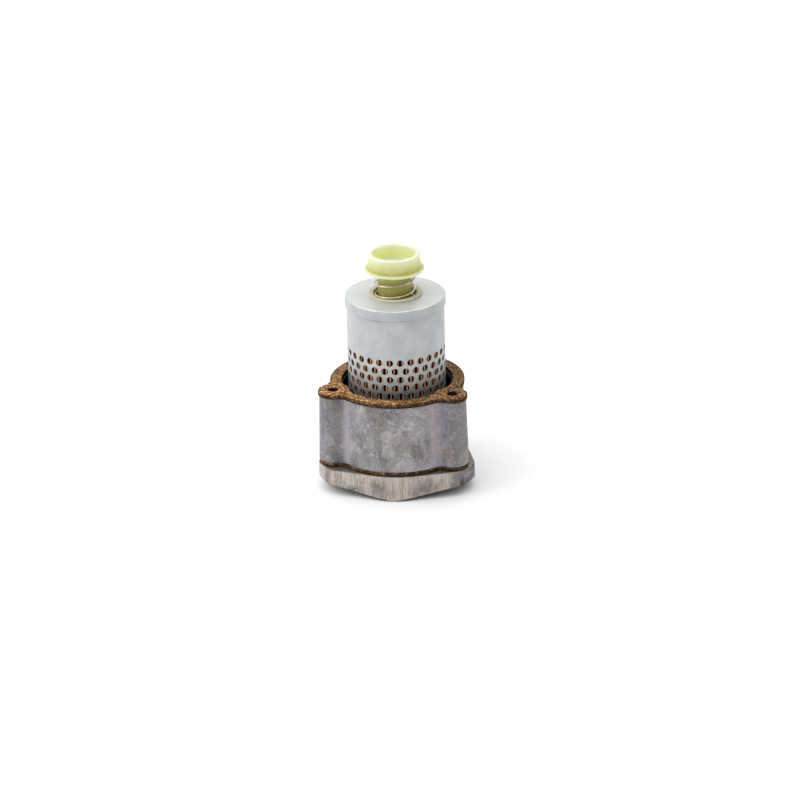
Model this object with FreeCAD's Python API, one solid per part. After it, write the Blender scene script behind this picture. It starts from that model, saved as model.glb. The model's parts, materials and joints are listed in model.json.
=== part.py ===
import FreeCAD, Part
import math
import os

# Hydraulic filter: a pleated element with a sprung outlet nose, standing in a three-eared cast
# housing that a tapered cast cover closes from below. Millimetres and degrees, +Z up.
# The origin is on the filter's axis, in the plane of the cover's flat underside.

# Bolt pattern, shared by cover, gaskets and housing
ear_count = 3
first_ear_deg = 90.0
bolt_hole_r = 3.5
bolt_offset = 1.8

# Cast housing, measured at its top face
housing_height = 46.5
housing_wall = 8.0
housing_ear_r = 9.4
housing_blend_r = 8.0
housing_draft = 1.2
housing_edge = 0.5
oil_gap = 2.9
bore_boss_r = 10.5
bore_blend_r = 8.0

# Cork gaskets
gasket_thickness = 3.0
upper_gasket_overhang = 0.8
lower_gasket_setback = 0.15
gasket_bore_gap = 0.8

# Cast cover
cover_thickness = 18.0
cover_margin = 0.7
cover_lobe_end = 10.3
cover_corner_r = 7.0
cover_flank_deg = 44.0
cover_turn_deg = 3.5
cover_edge_r = 0.8
taper_start = 25.0
taper_slope = 0.23
bolt_seat_r = 8.0
pocket_floor = 7.0
seat_height = 1.0
seat_inner_r = 24.0
seat_width = 5.0
spigot_r = 6.0
spigot_height = 2.6
spigot_clearance = 0.3

# Pressed end caps of the element
element_length = 123.6
cap_sheet = 0.8
cap_skirt = 6.7
cap_edge_r = 1.0
cap_fit = 0.1
potting_depth = 2.0

# Perforated shroud
shroud_r = 32.8
shroud_wall = 0.6
hole_r = 2.35
holes_per_row = 29
hole_rows = 13
row_pitch = 6.0
blank_band = 34.2

# Pleated paper
pleat_count = 72
paper = 0.4
pleat_gap = 0.7
crest_width = 1.3
valley_gap = 0.3
clip_sheet = 0.25
clip_depth = 4.0
clip_fit = 0.06

# Centre tube
tube_wall = 0.7
tube_play = 0.3
paper_play = 0.3
tube_hole_r = 3.5
tube_holes_per_row = 5
tube_rows = 5

# Rubber grommet in the top cap
rim_width = 3.5
rim_edge_r = 0.5
grommet_rise = 1.5
grommet_sleeve = 1.2
grommet_neck = 1.8
grommet_flange = 1.3
spring_well = 6.05
lip_height = 2.5
rubber_fit = 0.1
stem_running_fit = 0.06

# Spring and its seat washer
wire_r = 0.65
spring_to_stem = 1.25
spring_to_well = 0.55
spring_active_turns = 2.41
spring_end_turns = 0.9
spring_start_deg = 54.0
coil_gap = 0.03
spring_end_gap = 0.05
spring_steps_per_turn = 24
wire_sides = 8
washer_thickness = 0.6
washer_play = 0.2

# Outlet nose, moulded with its stem
stem_r = 11.3
stem_wall = 1.8
nose_standoff = 17.4
flange_reach = 8.7
flange_thickness = 1.8
head_height = 10.4
head_reach = 6.5
head_taper = 0.5
head_wall = 3.3
cup_floor = 1.6
nose_edge_r = 0.7
stop_gap = 0.1
ring_thickness = 1.2
ring_bite = 0.7
ring_width = 2.4
ring_fit = 0.06
ring_gap_deg = 40.0
stem_tail = 2.5

# Levels that follow from the stack
cover_top = cover_thickness
housing_bottom = cover_top + gasket_thickness
housing_top = housing_bottom + housing_height
element_bottom = pocket_floor + seat_height
cap_top = element_bottom + element_length
pack_bottom = element_bottom + cap_sheet + potting_depth
cap_under = cap_top - cap_sheet
pack_top = cap_under - potting_depth
grommet_top = cap_top + grommet_rise
well_floor = cap_top - spring_well
flange_under = cap_top + nose_standoff
flange_top = flange_under + flange_thickness
nose_top = flange_top + head_height
ring_top = well_floor - lip_height - stop_gap

# Radii that follow from the fits, from the shroud out to the bolts
skirt_r = shroud_r + cap_fit + cap_sheet
bore_r = skirt_r + oil_gap
housing_ring_r = bore_r + housing_wall
cover_ring_r = housing_ring_r + housing_draft + cover_margin
bolt_circle_r = housing_ring_r + bolt_offset
pleat_outer_r = shroud_r - shroud_wall - pleat_gap

# Radii that follow from the fits, from the stem out to the paper
spring_mean_r = stem_r + spring_to_stem + wire_r
grommet_bore_r = spring_mean_r + wire_r + spring_to_well
grommet_rim_r = grommet_bore_r + rim_width
grommet_neck_r = grommet_bore_r + grommet_neck
sleeve_r = grommet_bore_r + grommet_sleeve
lip_r = stem_r + stem_running_fit
tube_r = sleeve_r + tube_play + tube_wall
pack_inner_r = tube_r + paper_play

vertical = FreeCAD.Vector(0, 0, 1)
axis_foot = FreeCAD.Vector(0, 0, 0)
overcut = 1.0
tolerance = 1e-4


# Helpers

def polar(radius, degrees, z=0.0):
    angle = math.radians(degrees)
    return FreeCAD.Vector(radius * math.cos(angle), radius * math.sin(angle), z)


def ear_angles(turn=0.0):
    return [first_ear_deg + turn + index * 360.0 / ear_count for index in range(ear_count)]


def turned(shape, degrees):
    copy = shape.copy()
    copy.rotate(axis_foot, vertical, degrees)
    return copy


def cylinder(radius, low, high, centre=axis_foot):
    return Part.makeCylinder(radius, high - low, FreeCAD.Vector(centre.x, centre.y, low))


def tube(outer, inner, low, high):
    return cylinder(outer, low, high).cut(cylinder(inner, low - overcut, high + overcut))


def revolved(profile):
    """A ring or disc from its half section, given as (radius, height) corners."""
    corners = [FreeCAD.Vector(radius, 0, height) for radius, height in profile]
    face = Part.Face(Part.makePolygon(corners + corners[:1]))
    return face.revolve(axis_foot, vertical, 360)


def circles_at(shape, rims):
    """The circular edges about the axis that lie at the given (radius, height) pairs."""
    found = []
    for edge in shape.Edges:
        if not isinstance(edge.Curve, Part.Circle):
            continue
        centre = edge.Curve.Center
        for radius, height in rims:
            if abs(edge.Curve.Radius - radius) < tolerance and abs(centre.z - height) < tolerance:
                found.append(edge)
    return found


def perforated(shell, radius, per_row, rows, top, pitch, outer, wall):
    """A tube with staggered rows of round holes, the first row at the height top."""
    step = 360.0 / per_row
    start = FreeCAD.Vector(outer - wall - overcut, 0, 0)
    drill = Part.makeCylinder(radius, wall + 2 * overcut, start, FreeCAD.Vector(1, 0, 0))
    drills = []
    for row in range(rows):
        for index in range(per_row):
            bit = turned(drill, 270.0 + (index + 0.5 * (row % 2)) * step)
            bit.translate(FreeCAD.Vector(0, 0, top - row * pitch))
            drills.append(bit)
    return shell.cut(Part.makeCompound(drills))


# Lobed outlines

def axis_arc(radius, start_deg, end_deg, z):
    """An arc about the filter's axis."""
    turns = (start_deg, 0.5 * (start_deg + end_deg), end_deg)
    return Part.Arc(*[polar(radius, turn, z) for turn in turns]).toShape()


def lobed_wire(ring_r, lobe_r, blend_r, z, outward=True):
    """A closed outline about the axis with a round lobe on each bolt hole.

    Outward lobes swell the ring, as ears do. Inward lobes bite into it, as bosses do in a bore.
    Blend arcs run tangent from the ring to each lobe.
    """
    side = 1.0 if outward else -1.0
    ring_reach = ring_r + side * blend_r
    lobe_reach = lobe_r + blend_r
    cosine = (ring_reach ** 2 + bolt_circle_r ** 2 - lobe_reach ** 2) / (2 * bolt_circle_r * ring_reach)
    spread = math.degrees(math.acos(cosine))
    edges = []
    for ear in ear_angles():
        hole = polar(bolt_circle_r, ear, z)
        tip = polar(bolt_circle_r + side * lobe_r, ear, z)
        ends = []
        for sign in (-1.0, 1.0):
            centre = polar(ring_reach, ear + sign * spread, z)
            on_ring = polar(ring_r, ear + sign * spread, z)
            on_lobe = hole + (centre - hole) * (lobe_r / lobe_reach)
            middle = (on_ring + on_lobe) * 0.5 - centre
            middle.normalize()
            edges.append(Part.Arc(on_ring, centre + middle * blend_r, on_lobe).toShape())
            ends.append(on_lobe)
        edges.append(Part.Arc(ends[0], tip, ends[1]).toShape())
        edges.append(axis_arc(ring_r, ear + spread, ear + 360.0 / ear_count - spread, z))
    return Part.Wire(Part.__sortEdges__(edges))


def bore_wire(gap, z):
    return lobed_wire(bore_r + gap, bore_boss_r + gap, bore_blend_r, z, outward=False)


def bolt_drills(low, high):
    holes = [cylinder(bolt_hole_r, low, high, polar(bolt_circle_r, ear)) for ear in ear_angles()]
    return Part.makeCompound(holes)


def cover_wire(z):
    """Wide lobes with straight flanks, rounded corners and round middles between them."""
    end_r = bolt_circle_r + cover_lobe_end
    corner_reach = end_r - cover_corner_r
    corner_deg = cover_flank_deg - math.degrees(math.acos((cover_ring_r - cover_corner_r) / corner_reach))
    edges = []
    for lobe in ear_angles(cover_turn_deg):
        for sign in (-1.0, 1.0):
            flank = lobe + sign * cover_flank_deg
            corner = polar(corner_reach, lobe + sign * corner_deg, z)
            on_ring = polar(cover_ring_r, flank, z)
            on_flank = corner + polar(cover_corner_r, flank)
            on_end = polar(end_r, lobe + sign * corner_deg, z)
            halfway = polar(cover_corner_r, lobe + sign * 0.5 * (cover_flank_deg + corner_deg))
            edges.append(Part.LineSegment(on_ring, on_flank).toShape())
            edges.append(Part.Arc(on_flank, corner + halfway, on_end).toShape())
        edges.append(axis_arc(end_r, lobe - corner_deg, lobe + corner_deg, z))
        next_flank = lobe + 360.0 / ear_count - cover_flank_deg
        edges.append(axis_arc(cover_ring_r, lobe + cover_flank_deg, next_flank, z))
    return Part.Wire(Part.__sortEdges__(edges))


# Castings and gaskets

def base_cover():
    body = Part.Face(cover_wire(0.0)).extrude(FreeCAD.Vector(0, 0, cover_thickness))
    reach = 2 * bolt_circle_r
    rise = taper_slope * (reach - taper_start)
    section = [(taper_start, 0.0), (reach, 0.0), (reach, rise)]
    corners = [FreeCAD.Vector(x, -reach, z) for x, z in section]
    wedge = Part.Face(Part.makePolygon(corners + corners[:1])).extrude(FreeCAD.Vector(0, 2 * reach, 0))
    for lobe in ear_angles(cover_turn_deg):
        body = body.cut(turned(wedge, lobe))
    lower_rim = [edge for edge in body.Edges if on_lower_rim(edge)]
    body = body.makeFillet(cover_edge_r, lower_rim)
    seat_z = taper_slope * (bolt_circle_r + bolt_seat_r - taper_start)
    for ear in ear_angles():
        body = body.cut(cylinder(bolt_seat_r, -overcut, seat_z, polar(bolt_circle_r, ear)))
    pocket_depth = cover_thickness - pocket_floor + overcut
    pocket = Part.Face(bore_wire(0.0, pocket_floor)).extrude(FreeCAD.Vector(0, 0, pocket_depth))
    body = body.cut(pocket)
    body = body.cut(bolt_drills(-overcut, cover_thickness + overcut))
    seat = tube(seat_inner_r + seat_width, seat_inner_r, pocket_floor, element_bottom)
    spigot = cylinder(spigot_r, pocket_floor, element_bottom + spigot_height)
    return body.fuse(seat).fuse(spigot).removeSplitter()


def on_lower_rim(edge):
    """True for an edge where the cover's outer wall meets its underside."""
    ends = [edge.valueAt(value) for value in edge.ParameterRange]
    outside = [math.hypot(end.x, end.y) > cover_ring_r - tolerance for end in ends]
    low = [end.z < 0.5 * cover_thickness for end in ends]
    return all(outside) and all(low)


def gasket(ring_r, ear_r, low):
    outer = Part.Face(lobed_wire(ring_r, ear_r, housing_blend_r, low))
    inner = Part.Face(bore_wire(gasket_bore_gap, low))
    sheet = outer.cut(inner).extrude(FreeCAD.Vector(0, 0, gasket_thickness))
    return sheet.cut(bolt_drills(low - overcut, low + gasket_thickness + overcut))


def lower_gasket():
    ring_r = housing_ring_r + housing_draft - lower_gasket_setback
    ear_r = housing_ear_r + housing_draft - lower_gasket_setback
    return gasket(ring_r, ear_r, cover_top)


def upper_gasket():
    return gasket(housing_ring_r + upper_gasket_overhang, housing_ear_r + upper_gasket_overhang, housing_top)


def filter_housing():
    """A drafted wall with three ears, its rims broken by a small bevel."""
    levels = [
        (housing_bottom, housing_draft - housing_edge),
        (housing_bottom + housing_edge, housing_draft),
        (housing_top - housing_edge, 0.0),
        (housing_top, -housing_edge),
    ]
    rings = [lobed_wire(housing_ring_r + swell, housing_ear_r + swell, housing_blend_r - swell, z)
             for z, swell in levels]
    body = Part.makeLoft(rings, True, True)
    bore_face = Part.Face(bore_wire(0.0, housing_bottom - overcut))
    body = body.cut(bore_face.extrude(FreeCAD.Vector(0, 0, housing_height + 2 * overcut)))
    return body.cut(bolt_drills(housing_bottom - overcut, housing_top + overcut))


# Filter element

def bottom_end_cap():
    """A pressed cup, skirt up, with a raised dimple that drops over the cover's spigot."""
    low = element_bottom
    dimple_in = spigot_r + spigot_clearance
    dimple_top = low + spigot_height + spigot_clearance
    profile = [
        (0.0, dimple_top),
        (dimple_in, dimple_top),
        (dimple_in, low),
        (skirt_r, low),
        (skirt_r, low + cap_skirt),
        (skirt_r - cap_sheet, low + cap_skirt),
        (skirt_r - cap_sheet, low + cap_sheet),
        (dimple_in + cap_sheet, low + cap_sheet),
        (dimple_in + cap_sheet, dimple_top + cap_sheet),
        (0.0, dimple_top + cap_sheet),
    ]
    cup = revolved(profile)
    return cup.makeFillet(cap_edge_r, circles_at(cup, [(skirt_r, low)]))


def top_end_cap():
    """A flat pressed cup, skirt down, pierced for the grommet."""
    hole = grommet_neck_r + rubber_fit
    profile = [
        (skirt_r, cap_top - cap_skirt),
        (skirt_r, cap_top),
        (hole, cap_top),
        (hole, cap_under),
        (skirt_r - cap_sheet, cap_under),
        (skirt_r - cap_sheet, cap_top - cap_skirt),
    ]
    cup = revolved(profile)
    return cup.makeFillet(cap_edge_r, circles_at(cup, [(skirt_r, cap_top)]))


def bottom_potting():
    inner = spigot_r + spigot_clearance + cap_sheet + cap_fit
    return tube(shroud_r, inner, element_bottom + cap_sheet, pack_bottom)


def top_potting():
    return tube(shroud_r, grommet_rim_r + rubber_fit, pack_top, cap_under)


def outer_shroud():
    shell = tube(shroud_r, shroud_r - shroud_wall, pack_bottom, pack_top)
    first_row = pack_top - blank_band
    return perforated(shell, hole_r, holes_per_row, hole_rows, first_row, row_pitch, shroud_r, shroud_wall)


def centre_tube():
    shell = tube(tube_r, tube_r - tube_wall, pack_bottom, pack_top)
    pitch = (pack_top - pack_bottom) / (tube_rows + 1)
    return perforated(shell, tube_hole_r, tube_holes_per_row, tube_rows, pack_top - pitch, pitch,
                      tube_r, tube_wall)


def pleat_wire(crest_r, crest_half, valley_r, valley_half):
    """One face of the folded paper: flat crests and valleys given by their half widths."""
    corners = []
    pitch = 360.0 / pleat_count
    crest_deg = math.degrees(crest_half / crest_r)
    valley_deg = math.degrees(valley_half / valley_r)
    for index in range(pleat_count):
        crest = first_ear_deg + index * pitch
        valley = crest + 0.5 * pitch
        corners.append(polar(crest_r, crest - crest_deg, pack_bottom))
        corners.append(polar(crest_r, crest + crest_deg, pack_bottom))
        corners.append(polar(valley_r, valley - valley_deg, pack_bottom))
        corners.append(polar(valley_r, valley + valley_deg, pack_bottom))
    return Part.makePolygon(corners + corners[:1])


def pleated_media():
    outer = pleat_wire(pleat_outer_r, crest_width * 0.5, pack_inner_r + paper, valley_gap * 0.5)
    inner = pleat_wire(pleat_outer_r - paper, crest_width * 0.5 - paper, pack_inner_r,
                       valley_gap * 0.5 + paper)
    sheet = Part.Face(outer).cut(Part.Face(inner))
    return sheet.extrude(FreeCAD.Vector(0, 0, pack_top - pack_bottom))


def media_seam_clip():
    """A folded strip that grips the two ends of the paper at one crest."""
    inside = crest_width * 0.5 + clip_fit
    outside = inside + clip_sheet
    foot = pleat_outer_r - clip_depth
    head = pleat_outer_r + clip_fit
    section = [
        (foot, -outside), (head + clip_sheet, -outside), (head + clip_sheet, outside), (foot, outside),
        (foot, inside), (head, inside), (head, -inside), (foot, -inside),
    ]
    corners = [FreeCAD.Vector(x, y, pack_bottom) for x, y in section]
    clip = Part.Face(Part.makePolygon(corners + corners[:1]))
    return turned(clip.extrude(FreeCAD.Vector(0, 0, pack_top - pack_bottom)), first_ear_deg)


def seal_grommet():
    """Rubber: a rim over the cap, a flange under it, and a well whose lip bears on the stem."""
    well_bottom = well_floor - lip_height
    profile = [
        (grommet_bore_r, grommet_top),
        (grommet_rim_r, grommet_top),
        (grommet_rim_r, cap_top),
        (grommet_neck_r, cap_top),
        (grommet_neck_r, cap_under),
        (grommet_rim_r, cap_under),
        (grommet_rim_r, cap_under - grommet_flange),
        (sleeve_r, cap_under - grommet_flange),
        (sleeve_r, well_bottom),
        (lip_r, well_bottom),
        (lip_r, well_floor),
        (grommet_bore_r, well_floor),
    ]
    ring = revolved(profile)
    rims = circles_at(ring, [(grommet_bore_r, grommet_top), (grommet_rim_r, grommet_top)])
    return ring.makeFillet(rim_edge_r, rims)


def spring_seat_washer():
    outer = grommet_bore_r - washer_play
    inner = stem_r + washer_play
    return tube(outer, inner, well_floor, well_floor + washer_thickness)


def spring_height(turns):
    """How far the wire has climbed after so many turns, with a closed coil at each end."""
    climb = flange_under - well_floor - washer_thickness - 2 * (spring_end_gap + wire_r)
    end_pitch = 2 * wire_r + coil_gap
    active_pitch = (climb - 2 * spring_end_turns * end_pitch) / spring_active_turns
    first = min(turns, spring_end_turns)
    active = min(max(turns - spring_end_turns, 0.0), spring_active_turns)
    last = max(turns - spring_end_turns - spring_active_turns, 0.0)
    return (first + last) * end_pitch + active * active_pitch


def nose_spring():
    """A right-hand compression spring, lofted through its wire's sections round the helix."""
    low = well_floor + washer_thickness + spring_end_gap + wire_r
    total = spring_active_turns + 2 * spring_end_turns
    steps = math.ceil(total * spring_steps_per_turn)
    sections = []
    for step in range(steps + 1):
        turns = total * step / steps
        angle = spring_start_deg + 360.0 * turns
        middle = low + spring_height(turns)
        corners = []
        for side in range(wire_sides):
            around = math.radians((side + 0.5) * 360.0 / wire_sides)
            reach = spring_mean_r + wire_r * math.cos(around)
            corners.append(polar(reach, angle, middle + wire_r * math.sin(around)))
        sections.append(Part.makePolygon(corners + corners[:1]))
    return Part.makeLoft(sections, True, True)


# Sprung nose

def outlet_nose():
    """A flanged cup on a hollow stem, with a groove near the foot for the retaining ring."""
    stem_foot = ring_top - ring_thickness - stem_tail
    bore = stem_r - stem_wall
    groove = stem_r - ring_bite
    flange_r = stem_r + flange_reach
    head_base_r = stem_r + head_reach
    head_top_r = head_base_r - head_taper
    cup_r = head_base_r - head_wall
    cup_z = flange_top + cup_floor
    profile = [
        (bore, stem_foot),
        (stem_r, stem_foot),
        (stem_r, ring_top - ring_thickness),
        (groove, ring_top - ring_thickness),
        (groove, ring_top),
        (stem_r, ring_top),
        (stem_r, flange_under),
        (flange_r, flange_under),
        (flange_r, flange_top),
        (head_base_r, flange_top),
        (head_top_r, nose_top),
        (cup_r, nose_top),
        (cup_r, cup_z),
        (bore, cup_z),
    ]
    nose = revolved(profile)
    rims = circles_at(nose, [(head_top_r, nose_top), (cup_r, nose_top), (flange_r, flange_under),
                             (flange_r, flange_top)])
    return nose.makeFillet(nose_edge_r, rims)


def stem_retaining_ring():
    """A snap ring with an open gap, sprung into the stem's groove."""
    inner = stem_r - ring_bite + ring_fit
    ring = tube(inner + ring_width, inner, ring_top - ring_thickness, ring_top)
    half = 0.5 * ring_gap_deg
    reach = 2 * stem_r
    foot = FreeCAD.Vector(0, 0, ring_top - ring_thickness)
    corners = [foot, foot + polar(reach, -half), foot + polar(reach, half)]
    opening = Part.Face(Part.makePolygon(corners + corners[:1]))
    return ring.cut(opening.extrude(FreeCAD.Vector(0, 0, ring_thickness)))


pieces = {
    "base_cover": base_cover,
    "lower_gasket": lower_gasket,
    "filter_housing": filter_housing,
    "upper_gasket": upper_gasket,
    "bottom_end_cap": bottom_end_cap,
    "bottom_potting": bottom_potting,
    "centre_tube": centre_tube,
    "pleated_media": pleated_media,
    "media_seam_clip": media_seam_clip,
    "outer_shroud": outer_shroud,
    "top_potting": top_potting,
    "top_end_cap": top_end_cap,
    "seal_grommet": seal_grommet,
    "spring_seat_washer": spring_seat_washer,
    "nose_spring": nose_spring,
    "outlet_nose": outlet_nose,
    "stem_retaining_ring": stem_retaining_ring,
}

os.makedirs("parts", exist_ok=True)
for node, build in pieces.items():
    shape = build()
    shape.exportStep("parts/" + node + ".step")
    print(node, shape.ShapeType, len(shape.Solids), shape.isValid(), round(shape.Volume, 1))
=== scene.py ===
import json
import math

import bmesh
import bpy
from bpy.props import FloatProperty, FloatVectorProperty, IntProperty
from mathutils import Matrix, Vector, noise


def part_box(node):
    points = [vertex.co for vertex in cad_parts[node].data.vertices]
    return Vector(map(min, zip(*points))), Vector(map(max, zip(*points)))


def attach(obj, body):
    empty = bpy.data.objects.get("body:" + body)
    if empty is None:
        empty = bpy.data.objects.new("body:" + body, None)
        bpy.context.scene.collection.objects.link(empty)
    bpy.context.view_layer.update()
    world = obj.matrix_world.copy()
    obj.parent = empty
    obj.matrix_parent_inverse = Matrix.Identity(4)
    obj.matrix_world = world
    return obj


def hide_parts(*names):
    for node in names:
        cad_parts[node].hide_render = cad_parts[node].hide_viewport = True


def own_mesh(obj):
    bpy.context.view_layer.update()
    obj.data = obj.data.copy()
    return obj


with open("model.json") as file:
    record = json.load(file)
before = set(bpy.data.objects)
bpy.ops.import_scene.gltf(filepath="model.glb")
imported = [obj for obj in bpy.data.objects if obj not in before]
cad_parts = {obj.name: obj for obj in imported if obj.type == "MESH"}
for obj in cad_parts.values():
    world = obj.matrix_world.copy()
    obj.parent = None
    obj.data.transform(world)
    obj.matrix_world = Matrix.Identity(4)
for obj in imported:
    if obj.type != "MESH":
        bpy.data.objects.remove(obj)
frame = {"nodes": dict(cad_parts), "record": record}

bl_info = {
    "name": "Hydraulic Filter",
    "version": (1, 0, 0),
    "blender": (4, 5, 0),
    "location": "View3D > Sidebar > Filter",
    "description": "Dresses the hydraulic filter's castings, gaskets, element, spring and nose",
    "category": "Object",
}

# The filter's axis is Z, and its lengths are in metres.
MM = 0.001
FULL_TURN = 2 * math.pi
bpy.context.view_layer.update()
BOLT_HOLES = next(
    mount["dims"] for mount in frame["record"]["mounts"] if mount["name"] == "bolt_holes")


def reach(node):
    """The outer radius of a round node."""
    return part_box(node)[1].x


def foot(node):
    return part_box(node)[0].z


def head(node):
    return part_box(node)[1].z


def paint(red, green, blue):
    """A linear colour from the 0 to 255 values that a screen shows."""
    shares = [value / 255 for value in (red, green, blue)]
    return tuple(s / 12.92 if s <= 0.04045 else ((s + 0.055) / 1.055) ** 2.4 for s in shares)


def number_value(name, description, default, **options):
    return FloatProperty(name=name, description=description, default=default, **options)


def length_value(name, description, default_mm):
    return number_value(name, description, default_mm * MM, unit="LENGTH", precision=5)


def angle_value(name, description, degrees):
    return number_value(name, description, math.radians(degrees), subtype="ANGLE")


def share_value(name, description, default):
    return number_value(name, description, default, min=0.0, max=1.0, subtype="FACTOR")


def colour_value(name, description, red, green, blue):
    return FloatVectorProperty(
        name=name, description=description, default=paint(red, green, blue), subtype="COLOR",
        min=0.0, max=1.0)


# Settings that a user may change

class CastingSettings(bpy.types.PropertyGroup):
    """The housing and its cover."""
    ring_radius: length_value("Ring radius", "Outer radius of the housing at its top", 44.6)
    ear_radius: length_value("Ear radius", "Radius of each bolt ear at the top", 9.4)
    blend_radius: length_value("Blend radius", "Hollow between ring and ear at the top", 8.0)
    draft: length_value("Draft", "How much wider the housing is at its foot", 1.2)
    bore_radius: length_value("Bore radius", "Inner radius of the housing", 36.6)
    boss_radius: length_value("Boss radius", "Radius of the swelling round each bolt in the bore", 10.5)
    rim_round: length_value("Rim rounding", "Rounding of the housing's rims", 0.5)
    cover_ring: length_value("Cover ring", "Outer radius of the cover between its lobes", 46.5)
    cover_lobe: length_value("Cover lobe", "How far the cover reaches past its bolts", 10.3)
    cover_turn: angle_value("Cover turn", "How far the cover stands turned", 3.5)
    taper_start: length_value("Taper start", "Where the cover's underside begins to rise", 25.0)
    taper_slope: number_value("Taper slope", "Rise of the underside for each length outward", 0.23)
    pocket_floor: length_value("Pocket floor", "Height of the floor inside the cover", 7.0)
    waviness: length_value("Waviness", "Depth of the casting's slow unevenness", 0.12)
    pitting: length_value("Pitting", "Depth of the small pits", 0.25)
    skin: colour_value("Skin", "Main colour of the housing", 152, 149, 152)
    skin_dark: colour_value("Dark skin", "Oxide patches of the housing", 104, 101, 104)
    skin_light: colour_value("Light skin", "Rubbed patches of the housing", 198, 197, 196)
    warm_stain: colour_value("Warm stain", "Brown oil stain", 146, 124, 118)
    cool_stain: colour_value("Cool stain", "Violet oxide tint", 140, 136, 160)
    cover_skin: colour_value("Cover", "Sanded face of the cover", 203, 194, 184)
    cover_dark: colour_value("Cover stain", "Dull and stained places of the cover", 114, 105, 100)


class GasketSettings(bpy.types.PropertyGroup):
    """The two cork gaskets."""
    overhang: length_value("Overhang", "How far the upper gasket stands out past the housing", 0.8)
    setback: length_value("Setback", "How far the lower gasket stays inside the housing's foot", 0.15)
    bore_gap: length_value("Bore gap", "How much wider the gaskets are than the bore", 0.8)
    granule: length_value("Granule", "Size of the cork granules", 0.8)
    crevice: length_value("Crevice", "Depth of the crevices between granules", 0.16)
    cork_light: colour_value("Light cork", "Palest granules", 226, 168, 102)
    cork: colour_value("Cork", "Most granules", 122, 70, 32)
    cork_dark: colour_value("Dark cork", "Bark in the cork", 38, 20, 10)


class ElementSettings(bpy.types.PropertyGroup):
    """The element: shroud, caps, paper and grommet."""
    hole_radius: length_value("Hole radius", "Holes punched in the shroud", 2.35)
    holes_per_row: IntProperty(name="Holes per row", description="Holes round the shroud", default=29)
    hole_rows: IntProperty(name="Rows", description="Rows of holes in the shroud", default=13)
    row_pitch: length_value("Row pitch", "Height from one row to the next", 6.0)
    blank_band: length_value("Blank band", "Plain sheet above the first row", 34.2)
    sheet: length_value("Sheet", "Thickness of the shroud", 0.6)
    cap_sheet: length_value("Cap sheet", "Thickness of the caps", 0.8)
    crease: length_value("Crease", "From the cap's face down to the lower faint crease in its skirt", 4.8)
    pleats: IntProperty(name="Pleats", description="Folds in the paper", default=72)
    paper: length_value("Paper", "Thickness of the paper", 0.4)
    zinc: colour_value("Zinc", "Plating of the shroud", 185, 186, 187)
    zinc_dull: colour_value("Dull zinc", "Mottled places of the plating", 170, 173, 173)
    # painted light: the top cap's flat face gets a brighter colour than the sides, as it faces the light
    lid: colour_value("Lid", "Flat face of the top cap", 201, 203, 203)
    crest: colour_value("Paper crest", "Resin paper in the light", 226, 184, 112)
    fold: colour_value("Paper fold", "Resin paper down in the folds", 136, 54, 22)
    rubber: colour_value("Rubber", "Grommet in the top cap", 196, 194, 168)


class NoseSettings(bpy.types.PropertyGroup):
    """The sprung outlet nose and its spring."""
    wire_radius: length_value("Wire radius", "Radius of the spring wire", 0.65)
    active_turns: number_value("Active turns", "Open turns of the spring", 2.41)
    closed_turns: number_value("Closed turns", "Closed turns at each end", 0.9)
    start_angle: angle_value("Start", "Where the lowest turn begins", 54.0)
    nylon_deep: colour_value("Deep nylon", "Stem in the flange's shade", 128, 122, 36)
    head_height: length_value("Head", "Height of the cup above its flange", 10.4)
    flange_sheet: length_value("Flange", "Thickness of the flange", 1.8)
    stem_wall: length_value("Stem wall", "Wall of the hollow stem", 1.8)
    head_wall: length_value("Head wall", "Wall of the cup", 3.3)
    nylon: colour_value("Nylon", "Body of the moulding", 176, 174, 88)
    # painted light: the pale colour stands in for light shining through the thin edges
    nylon_pale: colour_value("Pale nylon", "Thin edges of the moulding", 202, 208, 192)
    wire: colour_value("Wire", "Spring wire", 236, 228, 204)


class StageSettings(bpy.types.PropertyGroup):
    """Floor, lights and camera."""
    floor_size: number_value("Floor", "Side of the floor", 30.0, unit="LENGTH")
    camera_azimuth: angle_value("Azimuth", "Camera angle round the filter", 8.4)
    camera_elevation: angle_value("Elevation", "Camera angle above the floor", 23.2)
    camera_roll: angle_value("Roll", "Tilt of the camera", -1.4)
    camera_distance: number_value("Distance", "Camera to gasket", 2.2679, unit="LENGTH")
    lens: number_value("Lens", "Focal length in millimetres", 151.55)
    key_power: number_value("Key", "Power of the main softbox", 14.0, unit="POWER")
    room: share_value("Room light", "Brightness of the white studio at the horizon", 0.54)


SETTINGS = {
    "filter_castings": CastingSettings,
    "filter_gaskets": GasketSettings,
    "filter_element": ElementSettings,
    "filter_nose": NoseSettings,
    "filter_stage": StageSettings,
}


# Places

def at(radius, angle, height=0.0):
    """The place at a radius and angle round the axis, and at a height."""
    return Vector((radius * math.cos(angle), radius * math.sin(angle), height))


def radius_of(place):
    return math.hypot(place.x, place.y)


def angle_of(place):
    return math.atan2(place.y, place.x)


def outwards(place):
    """The level direction from the axis to a place."""
    return Vector((place.x, place.y, 0.0)).normalized()


def limited(value, highest=1.0):
    """A value kept between 0 and the highest."""
    return max(0.0, min(highest, value))


def uneven(place, size):
    """Smooth unevenness from 0 to 1, whose waves are about that size."""
    return 0.5 + 0.5 * noise.noise(place / size)


def dent(vertex, way, depth, size):
    """Moves a point one way by up to a depth, in waves of about that size."""
    vertex.co += way * depth * uneven(vertex.co, size)


# Meshes

def new_object(name, mesh):
    piece = bpy.data.objects.new(name, mesh)
    bpy.context.scene.collection.objects.link(piece)
    return piece


def new_mesh(name, points, faces):
    mesh = bpy.data.meshes.new(name)
    mesh.from_pydata(points, [], faces)
    return mesh


def band_faces(columns, here, above, left_out=()):
    """Faces from one ring of points to another, by the number of each ring's first point."""
    faces = []
    for column in range(columns):
        if column not in left_out:
            beside = (column + 1) % columns
            faces.append((here + column, here + beside, above + beside, above + column))
    return faces


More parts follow.
